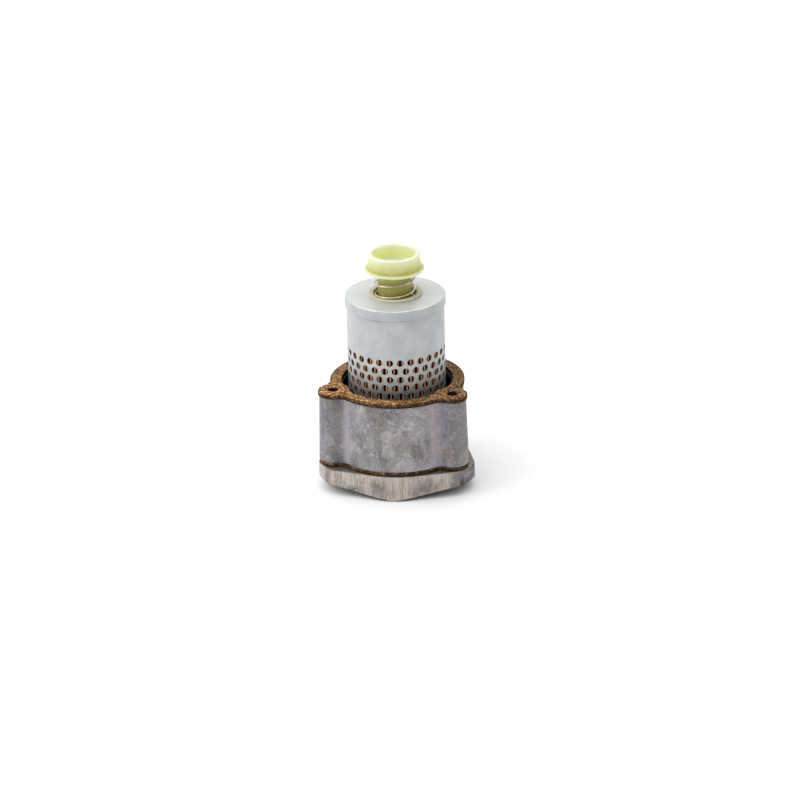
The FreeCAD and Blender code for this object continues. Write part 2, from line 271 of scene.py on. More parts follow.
def skin(name, rings, ends="joined"):
    """A skin over rings of points, each joined to the next.

    The rings run round the axis anticlockwise, and go up the outside and down the inside. The
    first and last ring are joined to each other, capped flat or left open.
    """
    columns = len(rings[0])
    last = (len(rings) - 1) * columns
    faces = []
    for here in range(0, last, columns):
        faces += band_faces(columns, here, here + columns)
    if ends == "joined":
        faces += band_faces(columns, last, 0)
    if ends == "capped":
        faces += [tuple(reversed(range(columns))), tuple(range(last, last + columns))]
    return new_mesh(name, [point for ring in rings for point in ring], faces)


def lathe(name, outline, columns, ends="joined"):
    """A skin turned from an outline of (radius, height) points, up the outside and down the inside."""
    turns = [FULL_TURN * column / columns for column in range(columns)]
    return skin(name, [[at(radius, turn, height) for turn in turns] for radius, height in outline], ends)


def shade(mesh, sharp_degrees=30.0):
    mesh.shade_smooth()
    mesh.set_sharp_from_angle(angle=math.radians(sharp_degrees))


def softened(corners, steps=4, support=0.12 * MM):
    """A closed outline of (radius, height) points with its corners rounded.

    Each corner is (radius, height, rounding). A support point beyond each end of a rounding keeps
    the flat stretches flat in the shading.
    """
    outline = []
    for index, (x, z, rounding) in enumerate(corners):
        here = Vector((x, z))
        before = Vector(corners[index - 1][:2])
        after = Vector(corners[(index + 1) % len(corners)][:2])
        if rounding == 0:
            outline.append(here)
            continue
        back = (before - here).normalized()
        ahead = (after - here).normalized()
        half = back.angle(ahead) / 2
        run = rounding / math.tan(half)
        centre = here + (back + ahead).normalized() * rounding / math.sin(half)
        first = here + back * run
        last = here + ahead * run
        if (before - here).length > run + 2 * support:
            outline.append(first + back * support)
        start = first - centre
        sweep = start.angle_signed(last - centre)
        for step in range(steps + 1):
            outline.append(centre + Matrix.Rotation(-sweep * step / steps, 2) @ start)
        if (after - here).length > run + 2 * support:
            outline.append(last + ahead * support)
    return outline


def applied(piece):
    """The piece's mesh with its modifiers worked in."""
    depsgraph = bpy.context.evaluated_depsgraph_get()
    mesh = bpy.data.meshes.new_from_object(piece.evaluated_get(depsgraph))
    mesh.name = piece.name
    return mesh


def drilled(mesh, holes):
    """The mesh with cutters taken out of it."""
    piece = new_object(mesh.name, mesh)
    for cutter in holes:
        tool = new_object("cutter", cutter)
        cut = piece.modifiers.new("drill", "BOOLEAN")
        cut.operation = "DIFFERENCE"
        cut.solver = "EXACT"
        cut.object = tool
        cleared = applied(piece)
        piece.modifiers.remove(cut)
        piece.data = cleared
        bpy.data.objects.remove(tool)
    result = piece.data
    bpy.data.objects.remove(piece)
    return result


def dressed(mesh, material, body, slot, *nodes):
    """Stands a finished mesh in place of the nodes that it replaces."""
    mesh.materials.clear()
    mesh.materials.append(material)
    piece = new_object(mesh.name, mesh)
    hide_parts(*nodes)
    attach(piece, body)
    return piece


# Node trees

class Tree:
    """Adds nodes to a tree. A value that is a socket is linked, and any other is set."""

    def __init__(self, tree):
        self.tree = tree

    def add(self, kind, values=None, **settings):
        node = self.tree.nodes.new(kind)
        for name, setting in settings.items():
            setattr(node, name, setting)
        for key, value in (values or {}).items():
            self.put(node.inputs[key], value)
        return node

    def put(self, socket, value):
        if isinstance(value, bpy.types.NodeSocket):
            self.tree.links.new(value, socket)
        else:
            socket.default_value = value

    def math(self, operation, *values):
        return self.add("ShaderNodeMath", dict(enumerate(values)), operation=operation).outputs[0]

    def plus(self, first, second):
        return self.math("ADD", first, second)

    def minus(self, first, second):
        return self.math("SUBTRACT", first, second)

    def times(self, first, second):
        return self.math("MULTIPLY", first, second)

    def larger(self, first, second):
        return self.math("MAXIMUM", first, second)

    def along(self, place, way):
        """How far a place lies along a direction."""
        return self.add("ShaderNodeVectorMath", {0: place, 1: way}, operation="DOT_PRODUCT").outputs["Value"]


class Finish(Tree):
    """A material read in the piece's own coordinates."""

    def __init__(self, name, **surface):
        self.material = bpy.data.materials.new(name)
        self.material.use_nodes = True
        super().__init__(self.material.node_tree)
        self.surface = self.tree.nodes["Principled BSDF"]
        self.show(**surface)
        self.place = self.add("ShaderNodeTexCoord").outputs["Object"]

    def show(self, **sockets):
        for key, value in sockets.items():
            self.put(self.surface.inputs[key.replace("_", " ")], value)
        return self.material

    def read(self, name):
        """The number that mark stored under that name."""
        return self.add("ShaderNodeAttribute", attribute_name=name).outputs["Fac"]

    def stretched(self, x, y, z):
        scale = {"Vector": self.place, "Scale": (x, y, z)}
        return self.add("ShaderNodeMapping", scale).outputs["Vector"]

    def share(self, value, low, high):
        """How far a value is from low to high, from 0 to 1."""
        return self.add("ShaderNodeMapRange", {"Value": value, "From Min": low, "From Max": high}).outputs[0]

    def cloud(self, size, detail=4.0, roughness=0.55, place=None):
        """Noise whose lumps are about that size, from 0 to 1."""
        values = {"Vector": place or self.place, "Scale": 1 / size, "Detail": detail,
                  "Roughness": roughness}
        return self.add("ShaderNodeTexNoise", values).outputs["Fac"]

    def ramp(self, factor, *stops):
        """Colours or greys along a factor, each stop a place and a value."""
        node = self.add("ShaderNodeValToRGB", {"Fac": factor})
        marks = node.color_ramp.elements
        while len(marks) < len(stops):
            marks.new(1.0)
        for mark, (position, value) in zip(marks, stops):
            mark.position = position
            mark.color = (*value, 1.0) if hasattr(value, "__len__") else (value, value, value, 1.0)
        return node.outputs["Color"]

    def patches(self, size, start, full, level=1.0, detail=4.0, roughness=0.55, place=None):
        """Noise cut to soft patches: 0 where it is below start, and level where it is above full."""
        return self.ramp(self.cloud(size, detail, roughness, place), (start, 0.0), (full, level))

    def mix(self, factor, first, second, blend="MIX"):
        node = self.add("ShaderNodeMix", data_type="RGBA", blend_type=blend)
        for socket, value in ((node.inputs[0], factor), (node.inputs[6], first), (node.inputs[7], second)):
            if not isinstance(value, (bpy.types.NodeSocket, float)):
                value = (*value, 1.0)
            self.put(socket, value)
        return node.outputs[2]

    def washed(self, colour, *washes):
        """A colour under washes, each a factor, a colour and, unless it is a plain mix, a blend."""
        for factor, tint, *blend in washes:
            colour = self.mix(factor, colour, tint, *blend)
        return colour

    def bumps(self, *layers):
        """Stacks bumps, each a height socket and its depth in metres."""
        normal = None
        for height, depth in layers:
            values = {"Height": height, "Distance": depth, "Strength": 1.0}
            if normal:
                values["Normal"] = normal
            normal = self.add("ShaderNodeBump", values).outputs["Normal"]
        self.show(Normal=normal)


class Pattern(Tree):
    """A geometry node tree with named inputs."""

    def __init__(self, name):
        super().__init__(bpy.data.node_groups.new(name, "GeometryNodeTree"))
        self.tree.interface.new_socket("Geometry", in_out="INPUT", socket_type="NodeSocketGeometry")
        self.tree.interface.new_socket("Geometry", in_out="OUTPUT", socket_type="NodeSocketGeometry")
        self.entry = self.tree.nodes.new("NodeGroupInput")
        self.exit = self.tree.nodes.new("NodeGroupOutput")

    def ask(self, name, kind="NodeSocketFloat"):
        """A named input of the tree."""
        self.tree.interface.new_socket(name, in_out="INPUT", socket_type=kind)
        return self.entry.outputs[name]

    def finish(self, geometry, material):
        """Ends the tree with real geometry that has its material."""
        real = self.add("GeometryNodeRealizeInstances", {"Geometry": geometry})
        last = self.add("GeometryNodeSetMaterial", {"Geometry": real.outputs[0], "Material": material})
        self.put(self.exit.inputs["Geometry"], last.outputs[0])
        return self.tree


def grown(name, start, tree, values):
    """The plain mesh that a geometry node tree makes from a starting mesh."""
    piece = new_object(name, start)
    modifier = piece.modifiers.new(tree.name, "NODES")
    modifier.node_group = tree
    for item in tree.interface.items_tree:
        if item.item_type == "SOCKET" and item.in_out == "INPUT" and item.name in values:
            modifier[item.identifier] = values[item.name]
    mesh = applied(piece)
    piece.modifiers.remove(modifier)
    bpy.data.objects.remove(piece)
    return mesh


# Lobed outlines

BOLT_CIRCLE = BOLT_HOLES["pcd_mm"] / 2 * MM
BOLT_HOLE = BOLT_HOLES["hole_r_mm"] * MM
EAR_COUNT = BOLT_HOLES["count"]
EAR_PITCH = FULL_TURN / EAR_COUNT
FIRST_EAR = math.radians(90)
BOLT_PLACES = [at(BOLT_CIRCLE, FIRST_EAR + index * EAR_PITCH) for index in range(EAR_COUNT)]
BORE_BLEND = 8.0 * MM


def from_nearest(angle, first):
    """How far an angle is from the nearest of the three lobes, of which one is at first."""
    return abs((angle - first + EAR_PITCH / 2) % EAR_PITCH - EAR_PITCH / 2)


def ray_to_circle(centre, radius, angle, far):
    """Where a ray from the axis meets a circle, on its far or its near side."""
    half = math.sqrt(max(radius ** 2 - (centre * math.sin(angle)) ** 2, 0.0))
    return centre * math.cos(angle) + (half if far else -half)


class Lobed:
    """A ring with a round lobe at each bolt hole, joined by tangent blends.

    Outward lobes swell the ring, as ears do, and inward ones bite into it, as bosses do in a bore.
    """

    def __init__(self, ring, lobe, blend, outward=True):
        self.ring = ring
        self.lobe = lobe
        self.blend = blend
        self.outward = outward
        self.blend_centre = ring + blend if outward else ring - blend
        span = lobe + blend
        squares = self.blend_centre ** 2 + BOLT_CIRCLE ** 2 - span ** 2
        self.spread = math.acos(squares / (2 * BOLT_CIRCLE * self.blend_centre))
        along = self.blend_centre * math.cos(self.spread) - BOLT_CIRCLE
        across = self.blend_centre * math.sin(self.spread)
        self.joint = math.atan2(across * lobe / span, BOLT_CIRCLE + along * lobe / span)

    def __call__(self, angle):
        away = from_nearest(angle, FIRST_EAR)
        if away >= self.spread:
            return self.ring
        if away <= self.joint:
            return ray_to_circle(BOLT_CIRCLE, self.lobe, away, self.outward)
        return ray_to_circle(self.blend_centre, self.blend, away - self.spread, not self.outward)

    def swollen(self, by):
        """The same outline, moved out from the axis side by a distance all round."""
        change = by if self.outward else -by
        return Lobed(self.ring + by, self.lobe + change, self.blend - change, self.outward)


class Flanked:
    """Wide lobes with straight flanks and rounded corners, and round stretches between them."""

    def __init__(self, ring, end, corner, flank, turn):
        self.ring = ring
        self.end = end
        self.corner = corner
        self.flank = flank
        self.first = FIRST_EAR + turn
        self.reach = end - corner
        self.corner_angle = flank - math.acos((ring - corner) / self.reach)
        on_flank = Vector((
            self.reach * math.cos(self.corner_angle) + corner * math.cos(flank),
            self.reach * math.sin(self.corner_angle) + corner * math.sin(flank)))
        self.corner_end = math.atan2(on_flank.y, on_flank.x)

    def __call__(self, angle):
        away = from_nearest(angle, self.first)
        if away <= self.corner_angle:
            return self.end
        if away <= self.corner_end:
            return ray_to_circle(self.reach, self.corner, away - self.corner_angle, True)
        if away <= self.flank:
            return self.ring / math.cos(self.flank - away)
        return self.ring

    def swollen(self, by):
        return Flanked(self.ring + by, self.end + by, self.corner + by, self.flank, self.first - FIRST_EAR)


def even_angles(outline, spacing, samples=4000):
    """Angles at which points on the outline are evenly spaced along it."""
    places = []
    for index in range(samples + 1):
        angle = FULL_TURN * index / samples
        places.append(Vector((math.cos(angle), math.sin(angle))) * outline(angle))
    runs = [0.0]
    for before, after in zip(places, places[1:]):
        runs.append(runs[-1] + (after - before).length)
    count = round(runs[-1] / spacing)
    angles = []
    index = 0
    for column in range(count):
        target = runs[-1] * column / count
        while runs[index + 1] < target:
            index += 1
        share = (target - runs[index]) / (runs[index + 1] - runs[index])
        angles.append(FULL_TURN * (index + share) / samples)
    return angles


class Row:
    """One ring of a casting's or gasket's skin: a radius and height by angle, and which way it wears."""

    def __init__(self, radii, heights, side):
        self.radii = radii
        self.heights = heights if isinstance(heights, list) else [heights] * len(radii)
        self.side = side


def radii_of(outline, angles, out=0.0):
    """An outline's radius at each angle, with the outline moved out by a distance."""
    moved = outline.swollen(out)
    return [moved(angle) for angle in angles]


def steps_between(low, high, spacing):
    """Evenly spaced values from low to high, with both ends."""
    count = max(1, round(abs(high - low) / spacing))
    return [low + (high - low) * index / count for index in range(count + 1)]


def lists_between(first, second, count):
    """Lists of numbers in even steps from the first to the second, with both."""
    return [[a + (b - a) * index / count for a, b in zip(first, second)] for index in range(count + 1)]


def rim_steps(rounding, count=3):
    """Points on a rounded rim after its first: how far each is from the face, and from the wall."""
    turns = [math.pi / 2 * step / count for step in range(1, count + 1)]
    return [(rounding * (1 - math.cos(turn)), rounding * (1 - math.sin(turn))) for turn in turns]


def walled_rows(angles, outer, inner, low, high, rounding, spacing, face_steps, swell_low=0.0):
    """The rows of a flat-ended ring between two outlines.

    They go out along the foot, up the outside, in along the top and down the bore. The outline
    stands out by swell_low more at the foot, and every rim is rounded.
    """
    def outside(height, inset=0.0):
        swell = swell_low * (high - height) / (high - low)
        return Row(radii_of(outer, angles, swell - inset), height, "outside")

    def bore(height, out=0.0):
        return Row(radii_of(inner, angles, out), height, "bore")

    rim = rim_steps(rounding)
    foot_edge = radii_of(outer, angles, swell_low - rounding)
    top_edge = radii_of(outer, angles, -rounding)
    bore_edge = radii_of(inner, angles, rounding)
    rows = [Row(radii, low, "foot") for radii in lists_between(bore_edge, foot_edge, face_steps[0])]
    rows += [outside(low + up, inset) for up, inset in rim]
    rows += [outside(height) for height in steps_between(low + rounding, high - rounding, spacing)[1:]]
    rows += [outside(high - down, inset) for inset, down in rim[:-1]]
    rows += [Row(radii, high, "top") for radii in lists_between(top_edge, bore_edge, face_steps[1])]
    rows += [bore(high - down, out) for down, out in rim]
    rows += [bore(height) for height in steps_between(high - rounding, low + rounding, spacing)[1:]]
    rows += [bore(low + up, out) for out, up in rim[:-1]]
    return rows


def worn_rings(rows, angles, wear):
    """Points of the rows, each moved into the material by what wear says of its place."""
    rings = []
    for row in rows:
        ring = []
        for radius, height, angle in zip(row.radii, row.heights, angles):
            across = Vector((math.cos(angle), math.sin(angle), 0.0))
            place = across * radius + Vector((0.0, 0.0, height))
            depth = wear(place, row.side)
            if row.side == "top":
                place.z -= depth
            elif row.side == "outside":
                place -= across * depth
            elif row.side == "bore":
                place += across * depth
            ring.append(place)
        rings.append(ring)
    return rings


def bolt_cutters(low, high, flare, seat=None):
    """Drills for the bolt holes, that widen by flare at both ends, or below to a seat for a bolt head.

    A seat is its radius and the height of its flat.
    """
    over = 2 * MM
    wide = BOLT_HOLE + flare
    if seat:
        seat_radius, seat_height = seat
        outline = [(seat_radius, low - over), seat, (wide, seat_height), (BOLT_HOLE, seat_height + flare)]
    else:
        outline = [(wide + over, low - over), (wide, low), (BOLT_HOLE, low + flare)]
    outline += [(BOLT_HOLE, high - flare), (wide, high), (wide + over, high + over)]
    drills = [lathe("drill", outline, 48, "capped") for place in BOLT_PLACES]
    for drill, place in zip(drills, BOLT_PLACES):
        drill.transform(Matrix.Translation(place))
    return drills


# Wear

def chance(place):
    """A number from 0 to 1 that belongs to a place."""
    return (place.x * 57.31 + place.y * 13.77 + place.z * 91.13) % 1.0


def casting_wear(waviness, pitting):
    """How deep a cast face lies below its true form: slow waves, shallow dents and small pits."""
    wave_size, dent_size, pit_spacing = 17 * MM, 4.5 * MM, 6 * MM
    unpitted_share = 0.55

    def wear(place, side):
        if side != "outside":
            return 0.0
        depth = waviness * (uneven(place, wave_size) + 0.4 * uneven(place, dent_size))
        distances, centres = noise.voronoi(place / pit_spacing)
        luck = chance(centres[0])
        pit_radius = (0.5 + 0.6 * luck) * MM
        edge = distances[0] * pit_spacing / pit_radius
        if luck > unpitted_share and edge < 1:
            depth += pitting * (1 - edge * edge) ** 2
        return depth
    return wear


def cork_wear(granule, crevice):
    """Granules of cork, each sunk by its own amount, with crevices between them."""
    crack_width = 0.3

    def wear(place, side):
        if side == "foot":
            return 0.0
        distances, centres = noise.voronoi(place / granule)
        crack = 1 - min((distances[1] - distances[0]) / crack_width, 1)
        return crevice * (0.55 * crack + 0.45 * chance(centres[0]))
    return wear


# Marks that the finishes read

def mark(mesh, **values):
    """Stores a number of each name at each point of the mesh."""
    for name, value_at in values.items():
        numbers = [value_at(vertex.co) for vertex in mesh.vertices]
        mesh.attributes.new(name, "FLOAT", "POINT").data.foreach_set("value", numbers)


def bore_shade(outline):
    """Whether a place is on the wall inside an outline or in a bolt hole, which painted shade makes dark."""
    wall_margin, hole_margin = 0.25 * MM, 0.15 * MM

    def value(place):
        if radius_of(place) < outline(angle_of(place)) + wall_margin:
            return 1.0
        return float(any(radius_of(place - bolt) < BOLT_HOLE + hole_margin for bolt in BOLT_PLACES))
    return value


def spots(places):
    """How far inside the nearest of some soft spots a place lies.

    Each spot is its angle in degrees, its height, and half its width and its height.
    """
    def value(place):
        inside = 0.0
        for degrees, height, wide, tall in places:
            across = radius_of(place) * (angle_of(place) - math.radians(degrees)) / wide
            inside = max(inside, 1 - math.hypot(across, (place.z - height) / tall))
        return inside
    return value


# Finishes

def housing_finish(look):
    """Die-cast metal: mottled grey oxide, worn bright patches and stains in the hollows, with upright bands
    of painted highlight and painted shade, and painted shade in the bore and bolt holes.
    """
    f = Finish("cast housing", Metallic=0.75, IOR=1.5)
    broad = f.patches(20 * MM, 0.38, 0.62, place=f.stretched(1.2, 1.2, 0.7))
    worn = f.patches(5 * MM, 0.46, 0.66, 0.62, 8, 0.78)
    crackle = f.ramp(f.cloud(2.6 * MM, 5, 0.62), (0.46, 0.0), (0.5, 0.75), (0.54, 0.0))
    frost = f.patches(1.3 * MM, 0.46, 0.66, 0.85, 6, 0.75)
    speckle = f.patches(0.8 * MM, 0.36, 0.6, 1.0, 4, 0.75)
    grains = f.patches(1.1 * MM, 0.53, 0.6, 0.9, 5, 0.9)
    streaks = f.patches(3 * MM, 0.5, 0.78, 0.22, place=f.stretched(1, 1, 0.1))
    warm = f.patches(13 * MM, 0.47, 0.62, 0.8)
    cool = f.patches(17 * MM, 0.42, 0.6, 0.8, place=f.stretched(1.3, 1.3, 0.7))
    ejector = f.ramp(f.read("ejector"), (0.0, 0.0), (0.3, 0.45))
    rust = f.times(f.ramp(f.read("rust"), (0.0, 0.0), (0.6, 0.4)), warm)
    hollow = f.read("hollow")
    band = f.read("band")
    # Painted highlights and painted shade in upright bands round the wall.
    band_highlight = f.times(f.larger(band, 0.0), 0.5)
    band_shade = f.times(f.larger(f.times(band, -1.0), 0.0), 0.55)
    colour = f.washed(
        f.mix(broad, look.skin_dark, look.skin),
        (f.times(worn, broad), look.skin_light),
        (f.times(frost, f.larger(worn, 0.25)), look.skin_light),
        (streaks, look.skin_light),
        (f.times(crackle, f.plus(worn, 0.15)), look.skin_light),
        (f.times(grains, f.plus(worn, 0.4)), paint(218, 217, 216)),
        (ejector, look.skin_light),
        (f.times(f.read("ear"), 0.2), look.skin_dark),
        (f.times(cool, hollow), look.cool_stain),
        (f.times(warm, f.larger(hollow, 0.35)), look.warm_stain),
        # painted highlight, then painted shade, from the upright bands
        (band_highlight, paint(194, 189, 199)),
        (band_shade, paint(92, 94, 91)),
        (rust, paint(178, 146, 130)),
        (f.times(f.minus(1.0, speckle), 0.35), look.skin_dark, "MULTIPLY"),
        # painted shade: the walls of the bore and bolt holes are painted nearly black
        (f.read("bore"), paint(34, 31, 30)))
    f.bumps((f.cloud(0.6 * MM, 5, 0.7), 0.09 * MM), (f.cloud(2.4 * MM, 4), 0.12 * MM))
    return f.show(Base_Color=colour, Roughness=f.ramp(worn, (0.0, 0.52), (1.0, 0.4)))


def cover_finish(look):
    """Cast metal with sanded sides, raw where sanded is 0, and painted dark underneath to deepen the shadow
    below it.
    """
    f = Finish("cast cover", Metallic=0.8, IOR=1.5)
    lines = f.cloud(0.42 * MM, 2, 0.6, place=f.stretched(1, 1, 0.05))
    broad_lines = f.patches(3 * MM, 0.45, 0.65, 0.45, 3, 0.7, f.stretched(1, 1, 0.12))
    blots = f.patches(9 * MM, 0.52, 0.68, 0.55, 5, 0.65)
    ragged = f.times(f.read("stain"), f.ramp(f.cloud(2.5 * MM, 5, 0.75), (0.3, 0.4), (0.7, 1.5)))
    sanded = f.washed(
        f.mix(f.ramp(lines, (0.3, 0.0), (0.64, 1.0)), look.cover_dark, look.cover_skin),
        (broad_lines, look.cover_skin),
        (blots, look.cover_dark),
        (f.ramp(ragged, (0.0, 0.0), (0.85, 0.8)), paint(106, 101, 108)))
    raw = f.mix(f.patches(5 * MM, 0.36, 0.64, 1.0, 6, 0.7), paint(76, 72, 68), look.skin)
    side = f.read("sanded")
    # painted shade: the underside is painted nearly black
    colour = f.washed(raw, (side, sanded), (f.times(f.read("under"), 0.9), paint(44, 42, 41)))
    f.bumps((lines, 0.05 * MM), (f.cloud(0.7 * MM, 4, 0.6), 0.03 * MM))
    return f.show(Base_Color=colour, Roughness=f.ramp(side, (0.0, 0.56), (1.0, 0.4)))


def cork_finish(look):
    """Pressed cork: pale, brown and bark-dark granules with dark joints, and painted shade darkening it
    towards the back right.
    """
    f = Finish("cork", Roughness=0.85, Specular_IOR_Level=0.3)
    scale = 1 / look.granule

    def granules(scale, feature="F1"):
        return f.add("ShaderNodeTexVoronoi", {"Vector": f.place, "Scale": scale}, feature=feature)

    def tone(scale):
        """A tone of its own for each granule."""
        return f.add("ShaderNodeSeparateColor", {"Color": granules(scale).outputs["Color"]}).outputs[0]

    joints = granules(scale, "DISTANCE_TO_EDGE").outputs["Distance"]
    tones = f.plus(f.times(tone(scale), 0.72), f.times(tone(scale * 1.7), 0.28))
    grain = f.ramp(f.cloud(0.45 * MM, 4, 0.8), (0.34, 0.45), (0.66, 1.35))
    flecks = f.ramp(tone(scale / 1.15), (0.74, 0.0), (0.84, 0.75))
    # Painted shade, darker towards the back right, with random patches on top.
    back_right_shade = f.share(f.along(f.place, (0.8, 0.8, 0.0)), -45 * MM, 50 * MM)
    shade_and_patches = f.plus(back_right_shade, f.minus(f.cloud(9 * MM, 3), 0.5))
    colour = f.washed(
        f.ramp(tones, (0.22, look.cork_dark), (0.4, look.cork), (0.56, look.cork), (0.78, look.cork_light)),
        (1.0, grain, "MULTIPLY"),
        (flecks, paint(248, 206, 146)),
        (0.8, f.ramp(joints, (0.0, 0.2), (0.12, 1.0)), "MULTIPLY"),
        (1.0, f.ramp(shade_and_patches, (0.0, 1.25), (0.13, 0.7), (0.6, 0.72), (1.0, 0.44)), "MULTIPLY"),
        # painted shade on the outer side, darkest at its foot
        (f.read("edge"), look.cork_dark, "MULTIPLY"),
        # painted shade on the walls of the bore and bolt holes
        (f.times(f.read("bore"), 0.92), look.cork_dark, "MULTIPLY"))
    f.bumps((joints, 0.25 * MM), (f.cloud(0.3 * MM, 4, 0.7), 0.08 * MM))
    return f.show(Base_Color=colour)


def zinc_finish(look):
    """Plated sheet: bluish white, softly mottled, with faint rolling lines; painted shade darkens it lower
    down and in lines at the cap's skirt, and painted light brightens the top cap's face and rim.
    """
    f = Finish("plated steel", Metallic=0.3, IOR=1.45)
    mottle = f.patches(11 * MM, 0.38, 0.68, 1.0, 4, 0.6)
    rolled = f.patches(1.5 * MM, 0.3, 0.7, 0.5, 3, place=f.stretched(1, 1, 0.06))
    scuffs = f.patches(2.2 * MM, 0.55, 0.75, 0.5, 5, 0.75)
    height = f.along(f.place, (0.0, 0.0, 1.0))
    # painted shade: darker towards the bottom, where the shroud goes down into the housing
    low_shade = f.ramp(f.share(height, 70 * MM, 92 * MM), (0.1, 0.36), (0.4, 0.62), (0.8, 0.9), (1.0, 1.0))
    lid = f.read("lid")
    colour = f.washed(
        f.mix(mottle, look.zinc, look.zinc_dull),
        (rolled, look.zinc_dull),
        (scuffs, look.zinc),
        (1.0, low_shade, "MULTIPLY"),
        # painted shade: dark lines below the cap's skirt and along its creases
        (f.times(f.read("seam"), 0.55), paint(120, 118, 116)),
        # painted light: the flat face of the top cap brighter than the sides
        (f.minus(lid, f.times(mottle, f.times(lid, 0.25))), look.lid),
        # painted highlight on the rim of the cap's top face, strongest towards the front
        (f.read("bright"), paint(244, 244, 242)))
    f.bumps((f.cloud(0.5 * MM, 3, 0.6), 0.012 * MM), (f.cloud(9 * MM, 2), 0.08 * MM))
    return f.show(Base_Color=colour, Roughness=f.ramp(mottle, (0.0, 0.36), (1.0, 0.48)))


def paper_finish(look):
    """Resin paper with its fibres, amber on the crests and darkened towards the valleys by painted shade."""
    f = Finish("filter paper", Roughness=0.6, Specular_IOR_Level=0.4)
    across = f.add("ShaderNodeVectorMath", {0: f.stretched(1, 1, 0)}, operation="LENGTH").outputs["Value"]
    fibres = f.cloud(0.5 * MM, 4, 0.7, place=f.stretched(1, 1, 0.35))
    # painted shade: near black deep in the folds, lighter out to the crests
    colour = f.ramp(
        f.share(across, 29 * MM, 31.5 * MM), (0.0, paint(24, 10, 7)), (0.45, paint(56, 20, 11)),
        (0.8, look.fold), (0.92, look.fold), (0.99, look.crest))
    f.bumps((fibres, 0.06 * MM), (f.cloud(3 * MM, 3), 0.1 * MM))
    return f.show(Base_Color=f.mix(f.ramp(fibres, (0.3, 0.0), (0.7, 0.35)), colour, look.fold))


def rubber_finish(look):
    """Moulded rubber with a matte bloom and specks of dust."""
    f = Finish("olive rubber", Specular_IOR_Level=0.45)
    bloom = f.ramp(f.cloud(3.5 * MM, 4, 0.6), (0.35, 0.88), (0.7, 1.12))
    dust = f.patches(0.35 * MM, 0.66, 0.74, 0.35, 2, 0.5)
    colour = f.washed(look.rubber, (1.0, bloom, "MULTIPLY"), (dust, look.zinc))
    f.bumps((f.cloud(0.6 * MM, 4, 0.6), 0.03 * MM))
    return f.show(Base_Color=colour, Roughness=f.ramp(bloom, (0.0, 0.5), (1.0, 0.68)))


def nylon_finish(look):
    """Translucent moulding: yellow-green in its thick parts, paler inside its cup and milky at its thin
    edges as painted light for light shining through, and darker on the stem under its flange in painted
    shade.
    """
    f = Finish(
        "pale nylon", Roughness=0.38, IOR=1.5, Subsurface_Weight=1.0, Subsurface_Scale=0.013,
        Subsurface_Radius=(1.0, 1.0, 0.7), Specular_IOR_Level=0.45)
    colour = f.washed(
        look.nylon,
        # painted light inside the cup and at the thin edges, standing in for light through the walls
        (f.read("inside"), paint(208, 210, 146)),
        (f.read("thin"), look.nylon_pale),
        (f.patches(6 * MM, 0.35, 0.7, 0.3, 3), look.nylon_pale),
        # painted shade on the stem under the flange
        (f.read("deep"), look.nylon_deep))
    f.bumps((f.cloud(0.8 * MM, 3, 0.6), 0.012 * MM), (f.cloud(5 * MM, 2), 0.04 * MM))
    return f.show(Base_Color=colour)


def wire_finish(look):
    """Drawn spring wire, straw-tinted from its tempering."""
    f = Finish("spring wire", Metallic=1.0)
    colour = f.mix(f.patches(5 * MM, 0.35, 0.65, 1.0, 3), look.wire, paint(172, 164, 150))
    scratch = f.cloud(0.25 * MM, 3, 0.6)
    f.bumps((scratch, 0.01 * MM))
    return f.show(Base_Color=colour, Roughness=f.ramp(scratch, (0.3, 0.24), (0.7, 0.4)))


def sealant_finish():
    """Cured sealant, dark, with slow flow marks."""
    f = Finish("sealant", Roughness=0.5)
    flow = f.cloud(5 * MM, 4)
    colour = f.ramp(flow, (0.3, paint(58, 58, 55)), (0.7, paint(92, 90, 84)))
    f.bumps((flow, 0.3 * MM))
    return f.show(Base_Color=colour)


def floor_finish():
    """Plain white studio floor."""
    f = Finish("studio floor", Roughness=0.7, Specular_IOR_Level=0.15)
    tone = f.ramp(f.cloud(0.4, 3), (0.3, paint(240, 240, 241)), (0.7, paint(243, 243, 243)))
    return f.show(Base_Color=tone)


# Castings and gaskets

HOLE_BREAK = 0.3 * MM


def housing_outline(cast, out=0.0):
    return Lobed(cast.ring_radius + out, cast.ear_radius + out, cast.blend_radius)


def bore_outline(cast, out=0.0):
    return Lobed(cast.bore_radius + out, cast.boss_radius + out, BORE_BLEND, outward=False)


